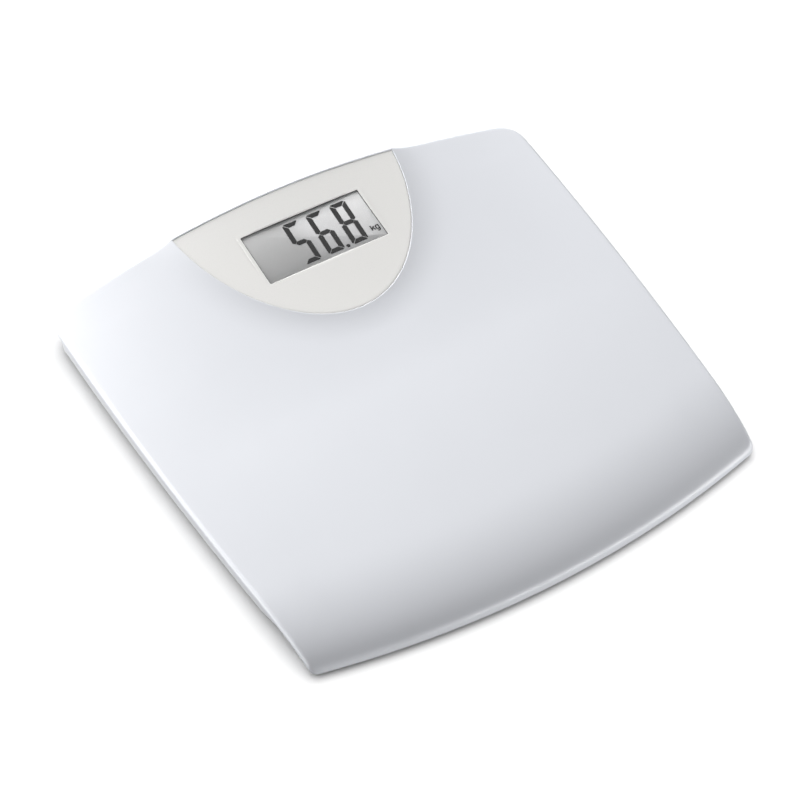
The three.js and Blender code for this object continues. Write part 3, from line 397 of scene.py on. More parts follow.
# Grey thermoplastic rubber of the pads, matt and a little dusty.
PAD_RUBBER = Finish(
    "moulded_rubber_pad_grey", "#82858a", "#6c6f74", 0.82, grain=0.35, relief=0.03, patch=7
)
# PVC cable jacket, off-white with a dull shine.
CABLE_JACKET = Finish(
    "extruded_pvc_jacket", "#dddcd6", "#cfcec8", 0.45, pattern=Pattern.SMOOTH, grain=2
)


# ---- meshes ---------------------------------------------------------------

SHARP_ANGLE = math.radians(40)


def make_piece(
    name: str, points: Points, faces: Sequence[Sequence[int]], material: bpy.types.Material
) -> bpy.types.Object:
    """Makes an object from points in metres in the row frame.

    Args:
        name: The piece's name.
        points: One row of x, y, z per vertex.
        faces: Vertex numbers of each face.
        material: The finish on all of it.

    Returns:
        The new object, shaded smooth except across sharp edges.
    """
    mesh = bpy.data.meshes.new(name)
    mesh.from_pydata([tuple(map(float, p)) for p in points], [], [tuple(f) for f in faces])
    grown = bmesh.new()
    grown.from_mesh(mesh)
    bmesh.ops.remove_doubles(grown, verts=grown.verts, dist=1e-6)
    bmesh.ops.dissolve_degenerate(grown, edges=grown.edges, dist=1e-7)
    bmesh.ops.recalc_face_normals(grown, faces=grown.faces)
    grown.to_mesh(mesh)
    grown.free()
    mesh.shade_smooth()
    mesh.set_sharp_from_angle(angle=SHARP_ANGLE)
    mesh.materials.append(material)
    piece = bpy.data.objects.new(name, mesh)
    bpy.context.scene.collection.objects.link(piece)
    return piece


def settle(
    piece: bpy.types.Object, body: str, replaced: Sequence[str] = ()
) -> bpy.types.Object:
    """Puts a piece on its body and hides the CAD nodes that it stands for.

    Args:
        piece: The finished piece.
        body: CAD body that it rides on.
        replaced: CAD nodes that it stands for.

    Returns:
        The same piece.
    """
    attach(piece, body)
    if replaced:
        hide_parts(*replaced)
    LOG.info("%s rides on %s", piece.name, body)
    return piece


def ring_faces(count: int, rings: int, closed: bool) -> list[tuple[int, ...]]:
    """Quads between rings of equal count.

    Args:
        count: Points in each ring.
        rings: Number of rings.
        closed: Whether the last ring joins the first.

    Returns:
        Vertex numbers of each quad.
    """
    faces = []
    for i in range(rings if closed else rings - 1):
        low, high = i * count, (i + 1) % rings * count
        for j in range(count):
            k = (j + 1) % count
            faces.append((low + j, low + k, high + k, high + j))
    return faces


def turned(
    profile: Sequence[tuple[float, float]], segments: int = 48
) -> tuple[Points, list[tuple[int, ...]]]:
    """A solid of revolution about z, from axis to axis.

    Args:
        profile: Radius and height of each ring, in mm.
        segments: Steps round the axis.

    Returns:
        Points in mm, and faces.
    """
    angles = np.linspace(0, 2 * math.pi, segments, endpoint=False)
    rings = [
        np.stack([r * np.cos(angles), r * np.sin(angles), np.full(segments, z)], 1)
        for r, z in profile
    ]
    points = np.concatenate(rings)
    faces = ring_faces(segments, len(profile), closed=False)
    last = (len(profile) - 1) * segments
    faces.append(tuple(reversed(range(segments))))
    faces.append(tuple(range(last, last + segments)))
    return points, faces


def rounded_rectangle(width: float, height: float, radius: float, steps: int = 6) -> Points:
    """Outline of a rectangle with rounded corners, anticlockwise.

    Args:
        width: Full width.
        height: Full height.
        radius: Corner radius.
        steps: Points round each corner, less one.

    Returns:
        One row of x, y per point.
    """
    points = []
    for quarter, (sx, sy) in enumerate([(1, 1), (-1, 1), (-1, -1), (1, -1)]):
        centre = np.array([sx * (width / 2 - radius), sy * (height / 2 - radius)])
        for i in range(steps + 1):
            angle = (quarter + i / steps) * math.pi / 2
            points.append(centre + radius * np.array([math.cos(angle), math.sin(angle)]))
    return np.array(points)


def lofted(outline: Points, levels: Sequence[tuple[float, float]]) -> tuple[Points, list]:
    """A solid through copies of an outline, each drawn in and set at a height.

    Args:
        outline: Rows of x, y, anticlockwise, star-shaped about the origin.
        levels: Inset and height of each copy, from one end to the other.

    Returns:
        Points and faces.
    """
    normals = np.roll(outline, -1, 0) - np.roll(outline, 1, 0)
    normals = np.stack([normals[:, 1], -normals[:, 0]], 1)
    normals /= np.linalg.norm(normals, axis=1, keepdims=True)
    rings = [
        np.column_stack([outline - normals * inset, np.full(len(outline), z)])
        for inset, z in levels
    ]
    faces = ring_faces(len(outline), len(levels), closed=False)
    last = (len(levels) - 1) * len(outline)
    faces.append(tuple(reversed(range(len(outline)))))
    faces.append(tuple(range(last, last + len(outline))))
    return np.concatenate(rings), faces


def eased(size: float, radius: float, low: float, high: float, steps: int = 3) -> list:
    """Levels of an upright wall whose two ends are rounded over.

    Args:
        size: Radius of the wall, or 0 where the levels are insets.
        radius: Radius of the rounded ends.
        low: Bottom height.
        high: Top height.
        steps: Steps round each end.

    Returns:
        Radius (or inset) and height pairs, bottom first.
    """
    sign = 1 if size else -1
    turns = [math.pi / 2 * i / steps for i in range(steps + 1)]
    lower = [(1 - math.sin(a), low + radius * (1 - math.cos(a))) for a in turns]
    upper = [(1 - math.cos(a), high - radius * (1 - math.sin(a))) for a in turns]
    return [(size - sign * radius * share, z) for share, z in lower + upper]


def join_shapes(shapes: Sequence[tuple[Points, list]]) -> tuple[Points, list]:
    """Puts separate shapes into one list of points and faces."""
    points, faces, start = [], [], 0
    for some, their_faces in shapes:
        points.append(some)
        faces.extend(tuple(i + start for i in face) for face in their_faces)
        start += len(some)
    return np.concatenate(points), faces


def cut_away(piece: bpy.types.Object, cutter: bpy.types.Object) -> None:
    """Cuts one object out of another and removes the cutter.

    Args:
        piece: The object that keeps its name.
        cutter: The object whose volume is taken out.
    """
    tool = piece.modifiers.new("cut", "BOOLEAN")
    tool.operation = "DIFFERENCE"
    tool.solver = "MANIFOLD"
    tool.object = cutter
    bpy.context.view_layer.update()
    graph = bpy.context.evaluated_depsgraph_get()
    mesh = bpy.data.meshes.new_from_object(piece.evaluated_get(graph))
    piece.modifiers.clear()
    piece.data = mesh
    mesh.shade_smooth()
    mesh.set_sharp_from_angle(angle=SHARP_ANGLE)
    bpy.data.objects.remove(cutter)


# ---- the platform's shape ---------------------------------------------------


@dataclass(frozen=True)
class Plan:
    """Outline and height of the platform and its pod.

    Attributes:
        mid_width: Across the middle.
        side_depth: Corner to corner along a side.
        taper: How much wider each side stands at the display end.
        side_bow: Bow of each side.
        front_bow: Bow of the front edge.
        back_bow: Bow of the back edge.
        corners: Length each edge gives up to a corner, from the front left round.
        edge_height: Top of the side edge at mid depth.
        edge_slope: Climb of the edge towards the display.
        crown: Crown of the platform.
        dome_rise: Swell of the display end.
        dome_power: How late the dome swells.
        roll_length: Depth over which the front edge rolls down.
        roll_drop: How far it rolls.
        wall: Wall of the cover.
        edge_round: Radius of the rim.
        skirt: Height of the cover's side band.
        lip_bottom: Lowest edge of the cover.
        parting_top: Highest line where cover and tray meet.
        pod_width: Half width of the pod.
        pod_back: Where the pod would be widest.
        pod_length: From there to its nearest point.
        pod_power: Fullness of its curve.
        pod_front_rise: Pod above the dome at its front.
        pod_back_rise: Pod above the dome at its back.
        flare: Width of the flare round the pod.
        rim: Rim of cover behind the panel.
        recess: Panel below the rim.
        panel: Thickness of the panel.
        gap: Gap between fitted pieces.
    """

    mid_width: float = 300.0
    side_depth: float = 272.4
    taper: float = 9.6
    side_bow: float = 3.3
    front_bow: float = 16.5
    back_bow: float = 12.6
    corners: tuple[float, float, float, float] = (4.0, 4.0, 15.0, 15.0)
    edge_height: float = 17.5
    edge_slope: float = 0.01
    crown: float = 1.5
    dome_rise: float = 11.0
    dome_power: float = 1.6
    roll_length: float = 50.0
    roll_drop: float = 11.0
    wall: float = 2.5
    edge_round: float = 2.5
    skirt: float = 3.8
    lip_bottom: float = 4.0
    parting_top: float = 15.2
    pod_width: float = 73.5
    pod_back: float = 148.0
    pod_length: float = 98.0
    pod_power: float = 1.62
    pod_front_rise: float = 1.2
    pod_back_rise: float = 3.2
    flare: float = 18.0
    rim: float = 3.0
    recess: float = 0.35
    panel: float = 2.0
    gap: float = 0.3

    @property
    def half_depth(self) -> float:
        """Half the length of a side."""
        return self.side_depth / 2

    @property
    def front_half(self) -> float:
        """Half the width at the front corners."""
        return self.mid_width / 2 - self.side_bow - self.taper

    @property
    def back_half(self) -> float:
        """Half the width at the back corners."""
        return self.mid_width / 2 - self.side_bow + self.taper

    @property
    def shift(self) -> float:
        """How far the row frame's centre lies in front of the plan's."""
        return (self.front_bow - self.back_bow) / 2

    def to_row(self, points: Points) -> Points:
        """Moves plan points in mm to the row frame in metres."""
        return (points + np.array([0, self.shift, 0])) * MM

    def front_edge(self, x: Points) -> Points:
        """Depth of the front edge."""
        share = np.minimum(1, abs(x) / self.front_half)
        return -self.half_depth - self.front_bow * (1 - share**2)

    def back_edge(self, x: Points) -> Points:
        """Depth of the back edge."""
        share = np.minimum(1, abs(x) / self.back_half)
        return self.half_depth + self.back_bow * (1 - share**2)

    def half_width(self, y: Points) -> Points:
        """Half the width at a depth."""
        share = np.clip(y / self.half_depth, -1, 1)
        return self.mid_width / 2 - self.side_bow * share**2 + self.taper * share

    def dome(self, x: Points, y: Points) -> Points:
        """Top of the platform before the pod is raised on it."""
        reach = np.clip((self.front_edge(x) + self.roll_length - y) / self.roll_length, 0, 1)
        roll = self.roll_drop * (1 - np.sqrt(1 - reach**2))
        depth = np.clip(y / (self.half_depth + self.back_bow), 0, 1)
        crown = self.crown + self.dome_rise * depth**self.dome_power
        across = np.minimum(1, abs(x) / self.half_width(y))
        return self.edge_height + self.edge_slope * y + crown * (1 - across**2) - roll

    def pod_rise(self, y: Points) -> Points:
        """How far the pod stands above the dome."""
        share = np.clip((y - self.pod_back + self.pod_length) / self.pod_length, 0, 1)
        return self.pod_front_rise + (self.pod_back_rise - self.pod_front_rise) * share

    def pod_distance(self, x: Points, y: Points) -> Points:
        """Distance from the pod's curved side, zero inside it."""
        along = np.maximum(1e-6, self.pod_back - y)
        level = (x / self.pod_width) ** 2 + (along / self.pod_length) ** self.pod_power
        slope_x = 2 * x / self.pod_width**2
        rate = self.pod_power / self.pod_length
        slope_y = rate * (along / self.pod_length) ** (self.pod_power - 1)
        return np.where(level > 1, (level - 1) / np.hypot(slope_x, slope_y), 0)

    def flared(self, x: Points, y: Points) -> Points:
        """Share of the pod's rise that is left at a point."""
        return np.maximum(0, 1 - self.pod_distance(x, y) / self.flare) ** 2

    def cover(self, x: Points, y: Points) -> Points:
        """Outer surface of the cover."""
        return self.dome(x, y) + self.pod_rise(y) * self.flared(x, y)

    def ceiling(self, x: Points, y: Points) -> Points:
        """Inner surface of the cover."""
        thick = (self.recess + self.panel + self.gap) * self.flared(x, y)
        return self.cover(x, y) - self.wall - thick

    def panel_top(self, x: Points, y: Points) -> Points:
        """Top of the display panel."""
        return self.dome(x, y) + self.pod_rise(y) - self.recess

    def outline(self, inset: float = 0.0, steps: int = 64, turns: int = 10) -> Points:
        """Outline of the platform drawn in by an inset, anticlockwise.

        Args:
            inset: Distance drawn in.
            steps: Points along each edge.
            turns: Points round each corner.

        Returns:
            One row of x, y per point, the same count for any inset.
        """
        front, back = -self.half_depth + inset, self.half_depth - inset
        side = self.mid_width / 2 + self.side_bow - inset
        ends = np.array(
            [
                (inset - self.front_half, front),
                (self.front_half - inset, front),
                (self.back_half - inset, back),
                (inset - self.back_half, back),
            ]
        )
        middles = np.array(
            [(0, front - 2 * self.front_bow), (side, 0), (0, back + 2 * self.back_bow), (-side, 0)]
        )

        def bezier(a: Points, b: Points, c: Points, t: Points) -> Points:
            """Points of a quadratic curve."""
            t = np.atleast_1d(t)[:, None]
            return (1 - t) ** 2 * a + 2 * t * (1 - t) * b + t**2 * c

        def length(k: int) -> float:
            """Length of an edge."""
            line = bezier(ends[k], middles[k], ends[(k + 1) % 4], np.linspace(0, 1, 200))
            return float(np.linalg.norm(np.diff(line, axis=0), axis=1).sum())

        rounds = [max(1.0, r - inset / 2) for r in self.corners]
        points = []
        for k in range(4):
            after = (k + 1) % 4
            start, stop = rounds[k] / length(k), 1 - rounds[after] / length(k)
            t = np.linspace(start, stop, steps, endpoint=False)
            points.append(bezier(ends[k], middles[k], ends[after], t))
            leave = bezier(ends[k], middles[k], ends[after], stop)[0]
            enter = rounds[after] / length(after)
            meet = bezier(ends[after], middles[after], ends[(after + 1) % 4], enter)[0]
            points.append(bezier(leave, ends[after], meet, np.arange(turns) / turns))
        return np.concatenate(points)

    def pod_outline(self, grown: float = 0.0, steps: int = 160) -> Points:
        """Outline of the display panel, grown by an amount, anticlockwise."""
        inset = self.rim - grown
        width, length = self.pod_width + grown, self.pod_length + grown
        corner_along = self.pod_back - self.back_edge(np.array(width)) + inset
        corner = math.asin((corner_along / length) ** (self.pod_power / 2))
        angles = np.linspace(math.pi - corner, corner, steps)
        along = length * np.sin(angles) ** (2 / self.pod_power)
        curve = np.stack([width * np.cos(angles), self.pod_back - along], 1)
        x = np.linspace(curve[-1, 0], -curve[-1, 0], steps // 2)[1:-1]
        return np.concatenate([curve, np.stack([x, self.back_edge(x) - inset], 1)])


@dataclass
class Rays:
    """Outlines matched to each other by their bearing from one centre.

    Attributes:
        centre: Where the bearings are taken from.
        outlines: Outlines whose points each get a bearing.
        angles: Every bearing, worked out from the outlines.
    """

    centre: Points
    outlines: Sequence[Points]
    angles: Points = field(init=False)

    def __post_init__(self) -> None:
        """Gathers the bearings and drops any that nearly repeat."""
        found = np.sort(np.concatenate([self.bearings(o) for o in self.outlines]))
        keep = np.concatenate([[True], np.diff(found) > 2e-4])
        self.angles = found[keep]

    def bearings(self, outline: Points) -> Points:
        """Bearing of each point from the centre."""
        away = outline - self.centre
        return np.arctan2(away[:, 1], away[:, 0])

    def cross(self, outline: Points) -> Points:
        """Where each ray meets an outline, as a distance from the centre.

        Args:
            outline: A closed outline, star-shaped about the centre.

        Returns:
            One distance per ray.
        """
        angles = self.bearings(outline)
        order = np.argsort(angles)
        a, p = angles[order], (outline - self.centre)[order]
        a = np.concatenate([[a[-1] - 2 * math.pi], a, [a[0] + 2 * math.pi]])
        p = np.concatenate([p[-1:], p, p[:1]])
        k = np.clip(np.searchsorted(a, self.angles, side="right"), 1, len(a) - 1)
        start, along = p[k - 1], p[k] - p[k - 1]
        ray = np.stack([np.cos(self.angles), np.sin(self.angles)], 1)
        top = start[:, 0] * along[:, 1] - start[:, 1] * along[:, 0]
        bottom = ray[:, 0] * along[:, 1] - ray[:, 1] * along[:, 0]
        return top / bottom

    def at(self, distance: Points) -> tuple[Points, Points]:
        """x and y at a distance along each ray."""
        return (
            self.centre[0] + distance * np.cos(self.angles),
            self.centre[1] + distance * np.sin(self.angles),
        )


def quarter(steps: int) -> list[tuple[float, float]]:
    """Insets and drops of a quarter round of radius 1, from its flat end to its upright end."""
    turns = [math.pi / 2 * i / steps for i in range(steps + 1)]
    return [(1 - math.sin(a), 1 - math.cos(a)) for a in turns]


# ---- sub-assemblies ---------------------------------------------------------


@dataclass
class TopCover:
    """The moulded platform, with the pocket that the display panel sits in.

    Attributes:
        plan: The platform's shape.
        lip: Radius of the pocket's edge.
        opening: Opening in the pocket's floor for the display, in mm.
        display_y: Depth of the display's middle.
        pocket_gap: Gap seen between the panel and the pocket's wall.
    """

    plan: Plan
    lip: float = 0.35
    pocket_gap: float = 0.12
    opening: tuple[float, float] = (89.5, 49.1)
    display_y: float = 106.6

    def column(self, rays: Rays) -> list[tuple[Points, Points, Points]]:
        """Rings from the opening, over the top and round to the opening again.

        Args:
            rays: Bearings that match the outlines.

        Returns:
            x, y and z of each ring.
        """
        plan = self.plan
        rim = rays.cross(plan.outline())
        pod = rays.cross(plan.pod_outline(self.pocket_gap))
        hole = rays.cross(
            rounded_rectangle(*self.opening, 2) + np.array([0, self.display_y])
        )
        rim_x, rim_y = rays.at(rim)
        rim_top = plan.cover(rim_x, rim_y)
        skirt = np.clip(rim_top - plan.skirt, plan.lip_bottom, plan.parting_top)
        room = np.minimum(plan.edge_round, np.maximum(0, rim_top - skirt - 0.6))

        def ring(distance: Points, height: Height) -> tuple[Points, Points, Points]:
            """One ring at a distance along each ray."""
            x, y = rays.at(distance)
            return x, y, height(x, y)

        floor = lambda x, y: plan.panel_top(x, y) - plan.panel - plan.gap
        rings = [ring(hole, floor), ring((hole + pod) / 2, floor), ring(pod, floor)]
        for inset, drop in reversed(quarter(4)):
            rings.append(
                ring(pod + self.lip * inset, lambda x, y: plan.cover(x, y) - self.lip * drop)
            )
        # From the pocket's edge: close rings over the flare, and from the rim inward.
        insets = [plan.edge_round * s for s, _ in quarter(8)]
        inward = [rays.cross(plan.outline(i)) for i in (26, 19, 13, 9, 6, 4, *insets)]
        span = rim - pod
        squeeze = np.minimum(1, 0.55 * (span - self.lip) / (rim - inward[0]))
        near = [rim - (rim - d) * squeeze for d in inward]
        outward = np.array([0.7, 1.6, 2.8, 4.2, 6, 8, 10.2, 12.6, 15.2, 17, 18, 19.5, 23, 28])
        flare = np.minimum(1, 0.4 * (span - self.lip) / outward[-1])
        far = [pod + self.lip + d * flare for d in outward]
        middle = [far[-1] + (near[0] - far[-1]) * s for s in np.linspace(0, 1, 22)[1:-1]]
        for distance in (*far, *middle, *near):
            x, y = rays.at(distance)
            inset = self.true_inset(x, y)
            share = np.maximum(0, 1 - inset / plan.edge_round)
            drop = room * (1 - np.sqrt(1 - share**2))
            rings.append((x, y, plan.cover(x, y) - drop))
        # Side band, its small lower radius, the lip and the inside.
        for inset, drop in quarter(3):
            z = skirt + 0.4 * inset if drop < 1 else skirt
            rings.append((*rays.at(rays.cross(plan.outline(0.4 * drop))), z))
        inside = plan.outline(plan.wall)
        wall = rays.cross(inside)
        rings.append((*rays.at(wall), skirt))
        for share in (0.0, 0.04, 0.1, 0.2, 0.35, 0.5, 0.65, 0.8, 0.9, 1.0):
            rings.append(ring(wall + (hole - wall) * share, plan.ceiling))
        return rings

    def true_inset(self, x: Points, y: Points) -> Points:
        """Distance from each point to the platform's outline."""
        line = self.plan.outline()
        nearest = np.full(len(x), 1e9)
        spot = np.stack([x, y], 1)
        for a, b in zip(line, np.roll(line, -1, 0)):
            edge = b - a
            share = np.clip((spot - a) @ edge / (edge @ edge), 0, 1)
            nearest = np.minimum(
                nearest, np.linalg.norm(spot - a - share[:, None] * edge, axis=1)
            )
        return nearest

    def build(self) -> None:
        """Builds the cover and lets it stand for its CAD node."""
        centre = np.array([0, self.display_y])
        rays = Rays(centre, [self.plan.outline(), self.plan.pod_outline(self.pocket_gap)])
        rings = self.column(rays)
        points = self.plan.to_row(np.concatenate([np.stack(r, 1) for r in rings]))
        faces = ring_faces(len(rays.angles), len(rings), closed=True)
        piece = make_piece("platform_cover", points, faces, COVER_WHITE.build())
        settle(piece, "scale", ["top_cover"])


class Segment(Enum):
    """The seven bars of a digit."""

    TOP = "top"
    UPPER_LEFT = "upper left"
    UPPER_RIGHT = "upper right"
    MIDDLE = "middle"
    LOWER_LEFT = "lower left"
    LOWER_RIGHT = "lower right"
    BOTTOM = "bottom"


DIGITS: dict[str, tuple[Segment, ...]] = {
    "5": (Segment.TOP, Segment.UPPER_LEFT, Segment.MIDDLE, Segment.LOWER_RIGHT, Segment.BOTTOM),
    "6": (
        Segment.TOP,
        Segment.UPPER_LEFT,
        Segment.MIDDLE,
        Segment.LOWER_LEFT,
        Segment.LOWER_RIGHT,
        Segment.BOTTOM,
    ),
    "8": tuple(Segment),
}


@dataclass
class DisplayPanel:
    """The panel in the pod, its lens and the liquid-crystal display.

    Attributes:
        plan: The platform's shape.
        display_y: Depth of its middle.
        window: Width and height of the window.
        lens_top: Top of the lens, in the display's frame.
        lens_thick: Thickness of the lens.
        lens_lap: Lens beyond the window on each side.
        lens_play: How much wider the lens's rebate is than the lens.
        window_lip: Depth of the ledge under the window's edge.
        rebate_floor: Depth of the rebate's floor.
        glass_top: Top of the display glass.
        glass_thick: Thickness of the glass.
        glass_lap: Glass beyond the window on each side.
        ink: Heights of the ink's underside and top over the glass.
        mask: Width of the charcoal band seen inside the window.
        digit: Width and height of a digit.
        stroke: Width of a bar.
        slit: Half the gap between two bars.
        chamfer: Corner taken off the outside of a digit.
        slant: Sideways lean of a digit over its height.
        mark_stroke: Width of the unit mark's lines, before its scale.
        mark_scale: Size of the unit mark against its drawing in mm.
        mark_place: Where the unit mark starts, as shares of the window from its middle.
        point: Width of the decimal point.
        point_place: Where the decimal point is, as shares of the window from its middle.
        reading: Digits shown, with a centre for each as a share of the window's width.
    """

    plan: Plan
    display_y: float = 106.6
    window: tuple[float, float] = (77.7, 37.3)
    lens_top: float = -0.4
    lens_thick: float = 0.4
    lens_lap: float = 1.7
    lens_play: float = 0.6
    window_lip: float = -0.32
    rebate_floor: float = -0.9
    glass_top: float = -1.05
    glass_thick: float = 2.0
    glass_lap: float = 1.2
    ink: tuple[float, float] = (0.02, 0.09)
    mask: float = 0.45
    digit: tuple[float, float] = (10.5, 31.2)
    stroke: float = 3.0
    slit: float = 0.16
    chamfer: float = 1.3
    slant: float = 0.8
    mark_stroke: float = 0.95
    mark_scale: float = 0.8
    mark_place: tuple[float, float] = (0.915 - 0.5, -0.32)
    point: float = 2.3
    point_place: tuple[float, float] = (0.687 - 0.5, -0.398)
    reading: tuple[tuple[str, float], ...] = (("5", 0.391), ("6", 0.59), ("8", 0.793))

    def level(self, ahead: float) -> float:
        """Top of the panel on its middle line, at a distance behind the display's middle."""
        return float(self.plan.panel_top(np.array(0.0), np.array(self.display_y + ahead)))

    @property
    def tilt(self) -> float:
        """Slope of the display, in radians: that of the panel at its middle."""
        return math.atan((self.level(1) - self.level(-1)) / 2)

    def tilted(self, points: Points) -> Points:
        """Moves points from the display's frame to the plan."""
        origin = np.array([0, self.display_y, self.level(0)])
        turn = np.array(Matrix.Rotation(self.tilt, 3, "X"))
        return points @ turn.T + origin

    def surround(self) -> None:
        """The warm white panel with its window."""
        plan = self.plan
        centre = np.array([0, self.display_y])
        window = self.window_outline(*self.window, 1.0)
        rays = Rays(centre, [window, plan.pod_outline()])
        inner = rays.cross(window)
        outer = rays.cross(plan.pod_outline())
        seat = (s + 2 * self.lens_lap + self.lens_play for s in self.window)
        rebate = rays.cross(self.window_outline(*seat, 1.5))
        ease, edge = 0.25, 0.4

        def level(y: Points, depth: float) -> Points:
            """Height of a plane of the display's frame."""
            return self.level(0) + (y - self.display_y) * math.tan(self.tilt) + depth

        rings = []
        x, y = rays.at(rebate)
        under = plan.panel_top(x, y) - plan.panel
        rings.append((x, y, np.minimum(under, level(y, self.rebate_floor))))
        rings.append((x, y, level(y, self.window_lip)))
        x, y = rays.at(inner)
        rings.append((x, y, level(y, self.window_lip)))
        for inset, drop in reversed(quarter(3)):
            x, y = rays.at(inner + ease * inset)
            rings.append((x, y, plan.panel_top(x, y) - ease * drop))
        span = outer - edge - inner - ease
        for share in (0.04, *np.linspace(0, 1, 14)[1:-1], 0.97):
            x, y = rays.at(inner + ease + span * share)
            rings.append((x, y, plan.panel_top(x, y)))
        for inset, drop in quarter(4):
            x, y = rays.at(outer - edge * inset)
            rings.append((x, y, plan.panel_top(x, y) - edge * drop))
        for distance in (outer, (outer + rebate) / 2, rebate + 0.5):
            x, y = rays.at(distance)
            rings.append((x, y, plan.panel_top(x, y) - plan.panel))
        points = plan.to_row(np.concatenate([np.stack(r, 1) for r in rings]))
        faces = ring_faces(len(rays.angles), len(rings), closed=True)
        piece = make_piece("display_surround", points, faces, PANEL_WHITE.build())
        settle(piece, "scale", ["display_bezel"])

    def window_outline(self, width: float, height: float, radius: float) -> Points:
        """Outline of a rectangle in the display's frame, seen in plan."""
        flat = rounded_rectangle(width, height, radius)
        return self.tilted(np.column_stack([flat, np.zeros(len(flat))]))[:, :2]

    def plate(self, width: float, height: float, top: float, thick: float) -> tuple[Points, list]:
        """A plate of the display's stack with softened edges."""
        outline = rounded_rectangle(width, height, 1.2, 4)
        levels = eased(0, 0.15, top - thick, top, 2)
        points, faces = lofted(outline, levels)
        return self.plan.to_row(self.tilted(points)), faces

    def lens(self) -> None:
        """The clear lens."""
        width, height = (s + 2 * self.lens_lap for s in self.window)
        shape = self.plate(width, height, self.lens_top, self.lens_thick)
        piece = make_piece("clear_lens", *shape, LENS_CLEAR.build())
        settle(piece, "scale", ["display_lens"])

    def border(self) -> None:
        """A thin charcoal band under the lens, along the window's edge."""
        # This thin dark ring darkens the window's edge all round.
        z = self.lens_top - self.lens_thick - 0.1
        outer = rounded_rectangle(*(s + 1.6 for s in self.window), 1.4)
        inner = rounded_rectangle(*(s - 2 * self.mask for s in self.window), 0.8)
        rings = [
            np.column_stack([line, np.full(len(line), height)])
            for line, height in ((inner, z), (outer, z), (outer, z - 0.1), (inner, z - 0.1))
        ]
        points = self.plan.to_row(self.tilted(np.concatenate(rings)))
        faces = ring_faces(len(inner), 4, closed=True)
        settle(make_piece("window_edge_band", points, faces, WINDOW_EDGE_CHARCOAL.build()), "scale")

    def glass(self) -> None:
        """The display glass with its polariser, whose colour carries a painted reflection."""
        width, height = (s + 2 * self.glass_lap for s in self.window)
        # dark and bright are the two ends of the painted reflection on the polariser.
        dark = self.plan.to_row(self.tilted(np.array([[-width / 2, -height / 4, 0.0]])))[0]
        bright = self.plan.to_row(self.tilted(np.array([[width / 2, height / 2, 0.0]])))[0]
        finish = LcdPaintedReflectionFinish(
            "lcd_polariser_grey_painted_reflection",
            "#dadada",
            "#a0a0a0",
            0.5,
            pattern=Pattern.SMOOTH,
            grain=8,
            relief=0.0,
            origin=tuple(map(float, dark)),
            reach=tuple(map(float, bright - dark)),
        )
        shape = self.plate(width, height, self.glass_top, self.glass_thick)
        piece = make_piece("display_glass", *shape, finish.build())
        settle(piece, "scale", ["lcd_glass"])

    def bar(self, segment: Segment) -> Points:
        """Outline of one bar of a digit whose middle is at the origin.

        Args:
            segment: Which bar.

        Returns:
            Rows of x, y: a flat bar with mitred ends.
        """
        w, h, s, k, c = *(d / 2 for d in self.digit), self.stroke, self.slit, self.chamfer
        if segment in (Segment.TOP, Segment.BOTTOM):
            half = [(w - s - 2 * k, h - s), (w - c / 2 - k, h - c / 2 + k), (w - c, h)]
            bar = half + [(-x, y) for x, y in reversed(half)]
            sign = 1 if segment is Segment.TOP else -1
            return np.array([(x, y * sign) for x, y in bar])
        if segment is Segment.MIDDLE:
            half = [(w - s, s / 2), (w - s / 2 - 2 * k, 0), (w - s, -s / 2)]
            return np.array(half + [(-x, y) for x, y in reversed(half)])
        bar = [
            (w, h - c),
            (w - c / 2 + k, h - c / 2 - k),
            (w - s, h - s - 2 * k),
            (w - s, s / 2 + 1.5 * k),
            (w - s / 2, 1.5 * k),
            (w, s / 2 - k),
        ]
        left = segment in (Segment.UPPER_LEFT, Segment.LOWER_LEFT)
        low = segment in (Segment.LOWER_LEFT, Segment.LOWER_RIGHT)
        return np.array([(-x if left else x, -y if low else y) for x, y in bar])

    def digits(self) -> None:
        """The reading, as thin bars just over the glass."""
        shapes = []
        width = self.window[0]
        low, high = (self.glass_top + height for height in self.ink)

        def stamp(outline: Points, x: float, y: float = 0.0) -> None:
            """Adds one flat shape, leaning with the digits."""
            spot = outline + np.array([x, y])
            spot[:, 0] += self.slant * spot[:, 1] / self.digit[1]
            count = len(spot)
            rings = [np.column_stack([spot, np.full(count, z)]) for z in (low, high)]
            faces = ring_faces(count, 2, closed=False)
            faces += [tuple(reversed(range(count))), tuple(range(count, 2 * count))]
            shapes.append((np.concatenate(rings), faces))

        for numeral, share in self.reading:
            for segment in DIGITS[numeral]:
                stamp(self.bar(segment), (share - 0.5) * width)
        point = rounded_rectangle(self.point, self.point, 1.1, 5)
        stamp(point, self.point_place[0] * width, self.point_place[1] * self.window[1])
        points, faces = join_shapes(shapes)
        points = self.plan.to_row(self.tilted(points))
        settle(make_piece("reading_bars", points, faces, LCD_INK.build()), "scale")

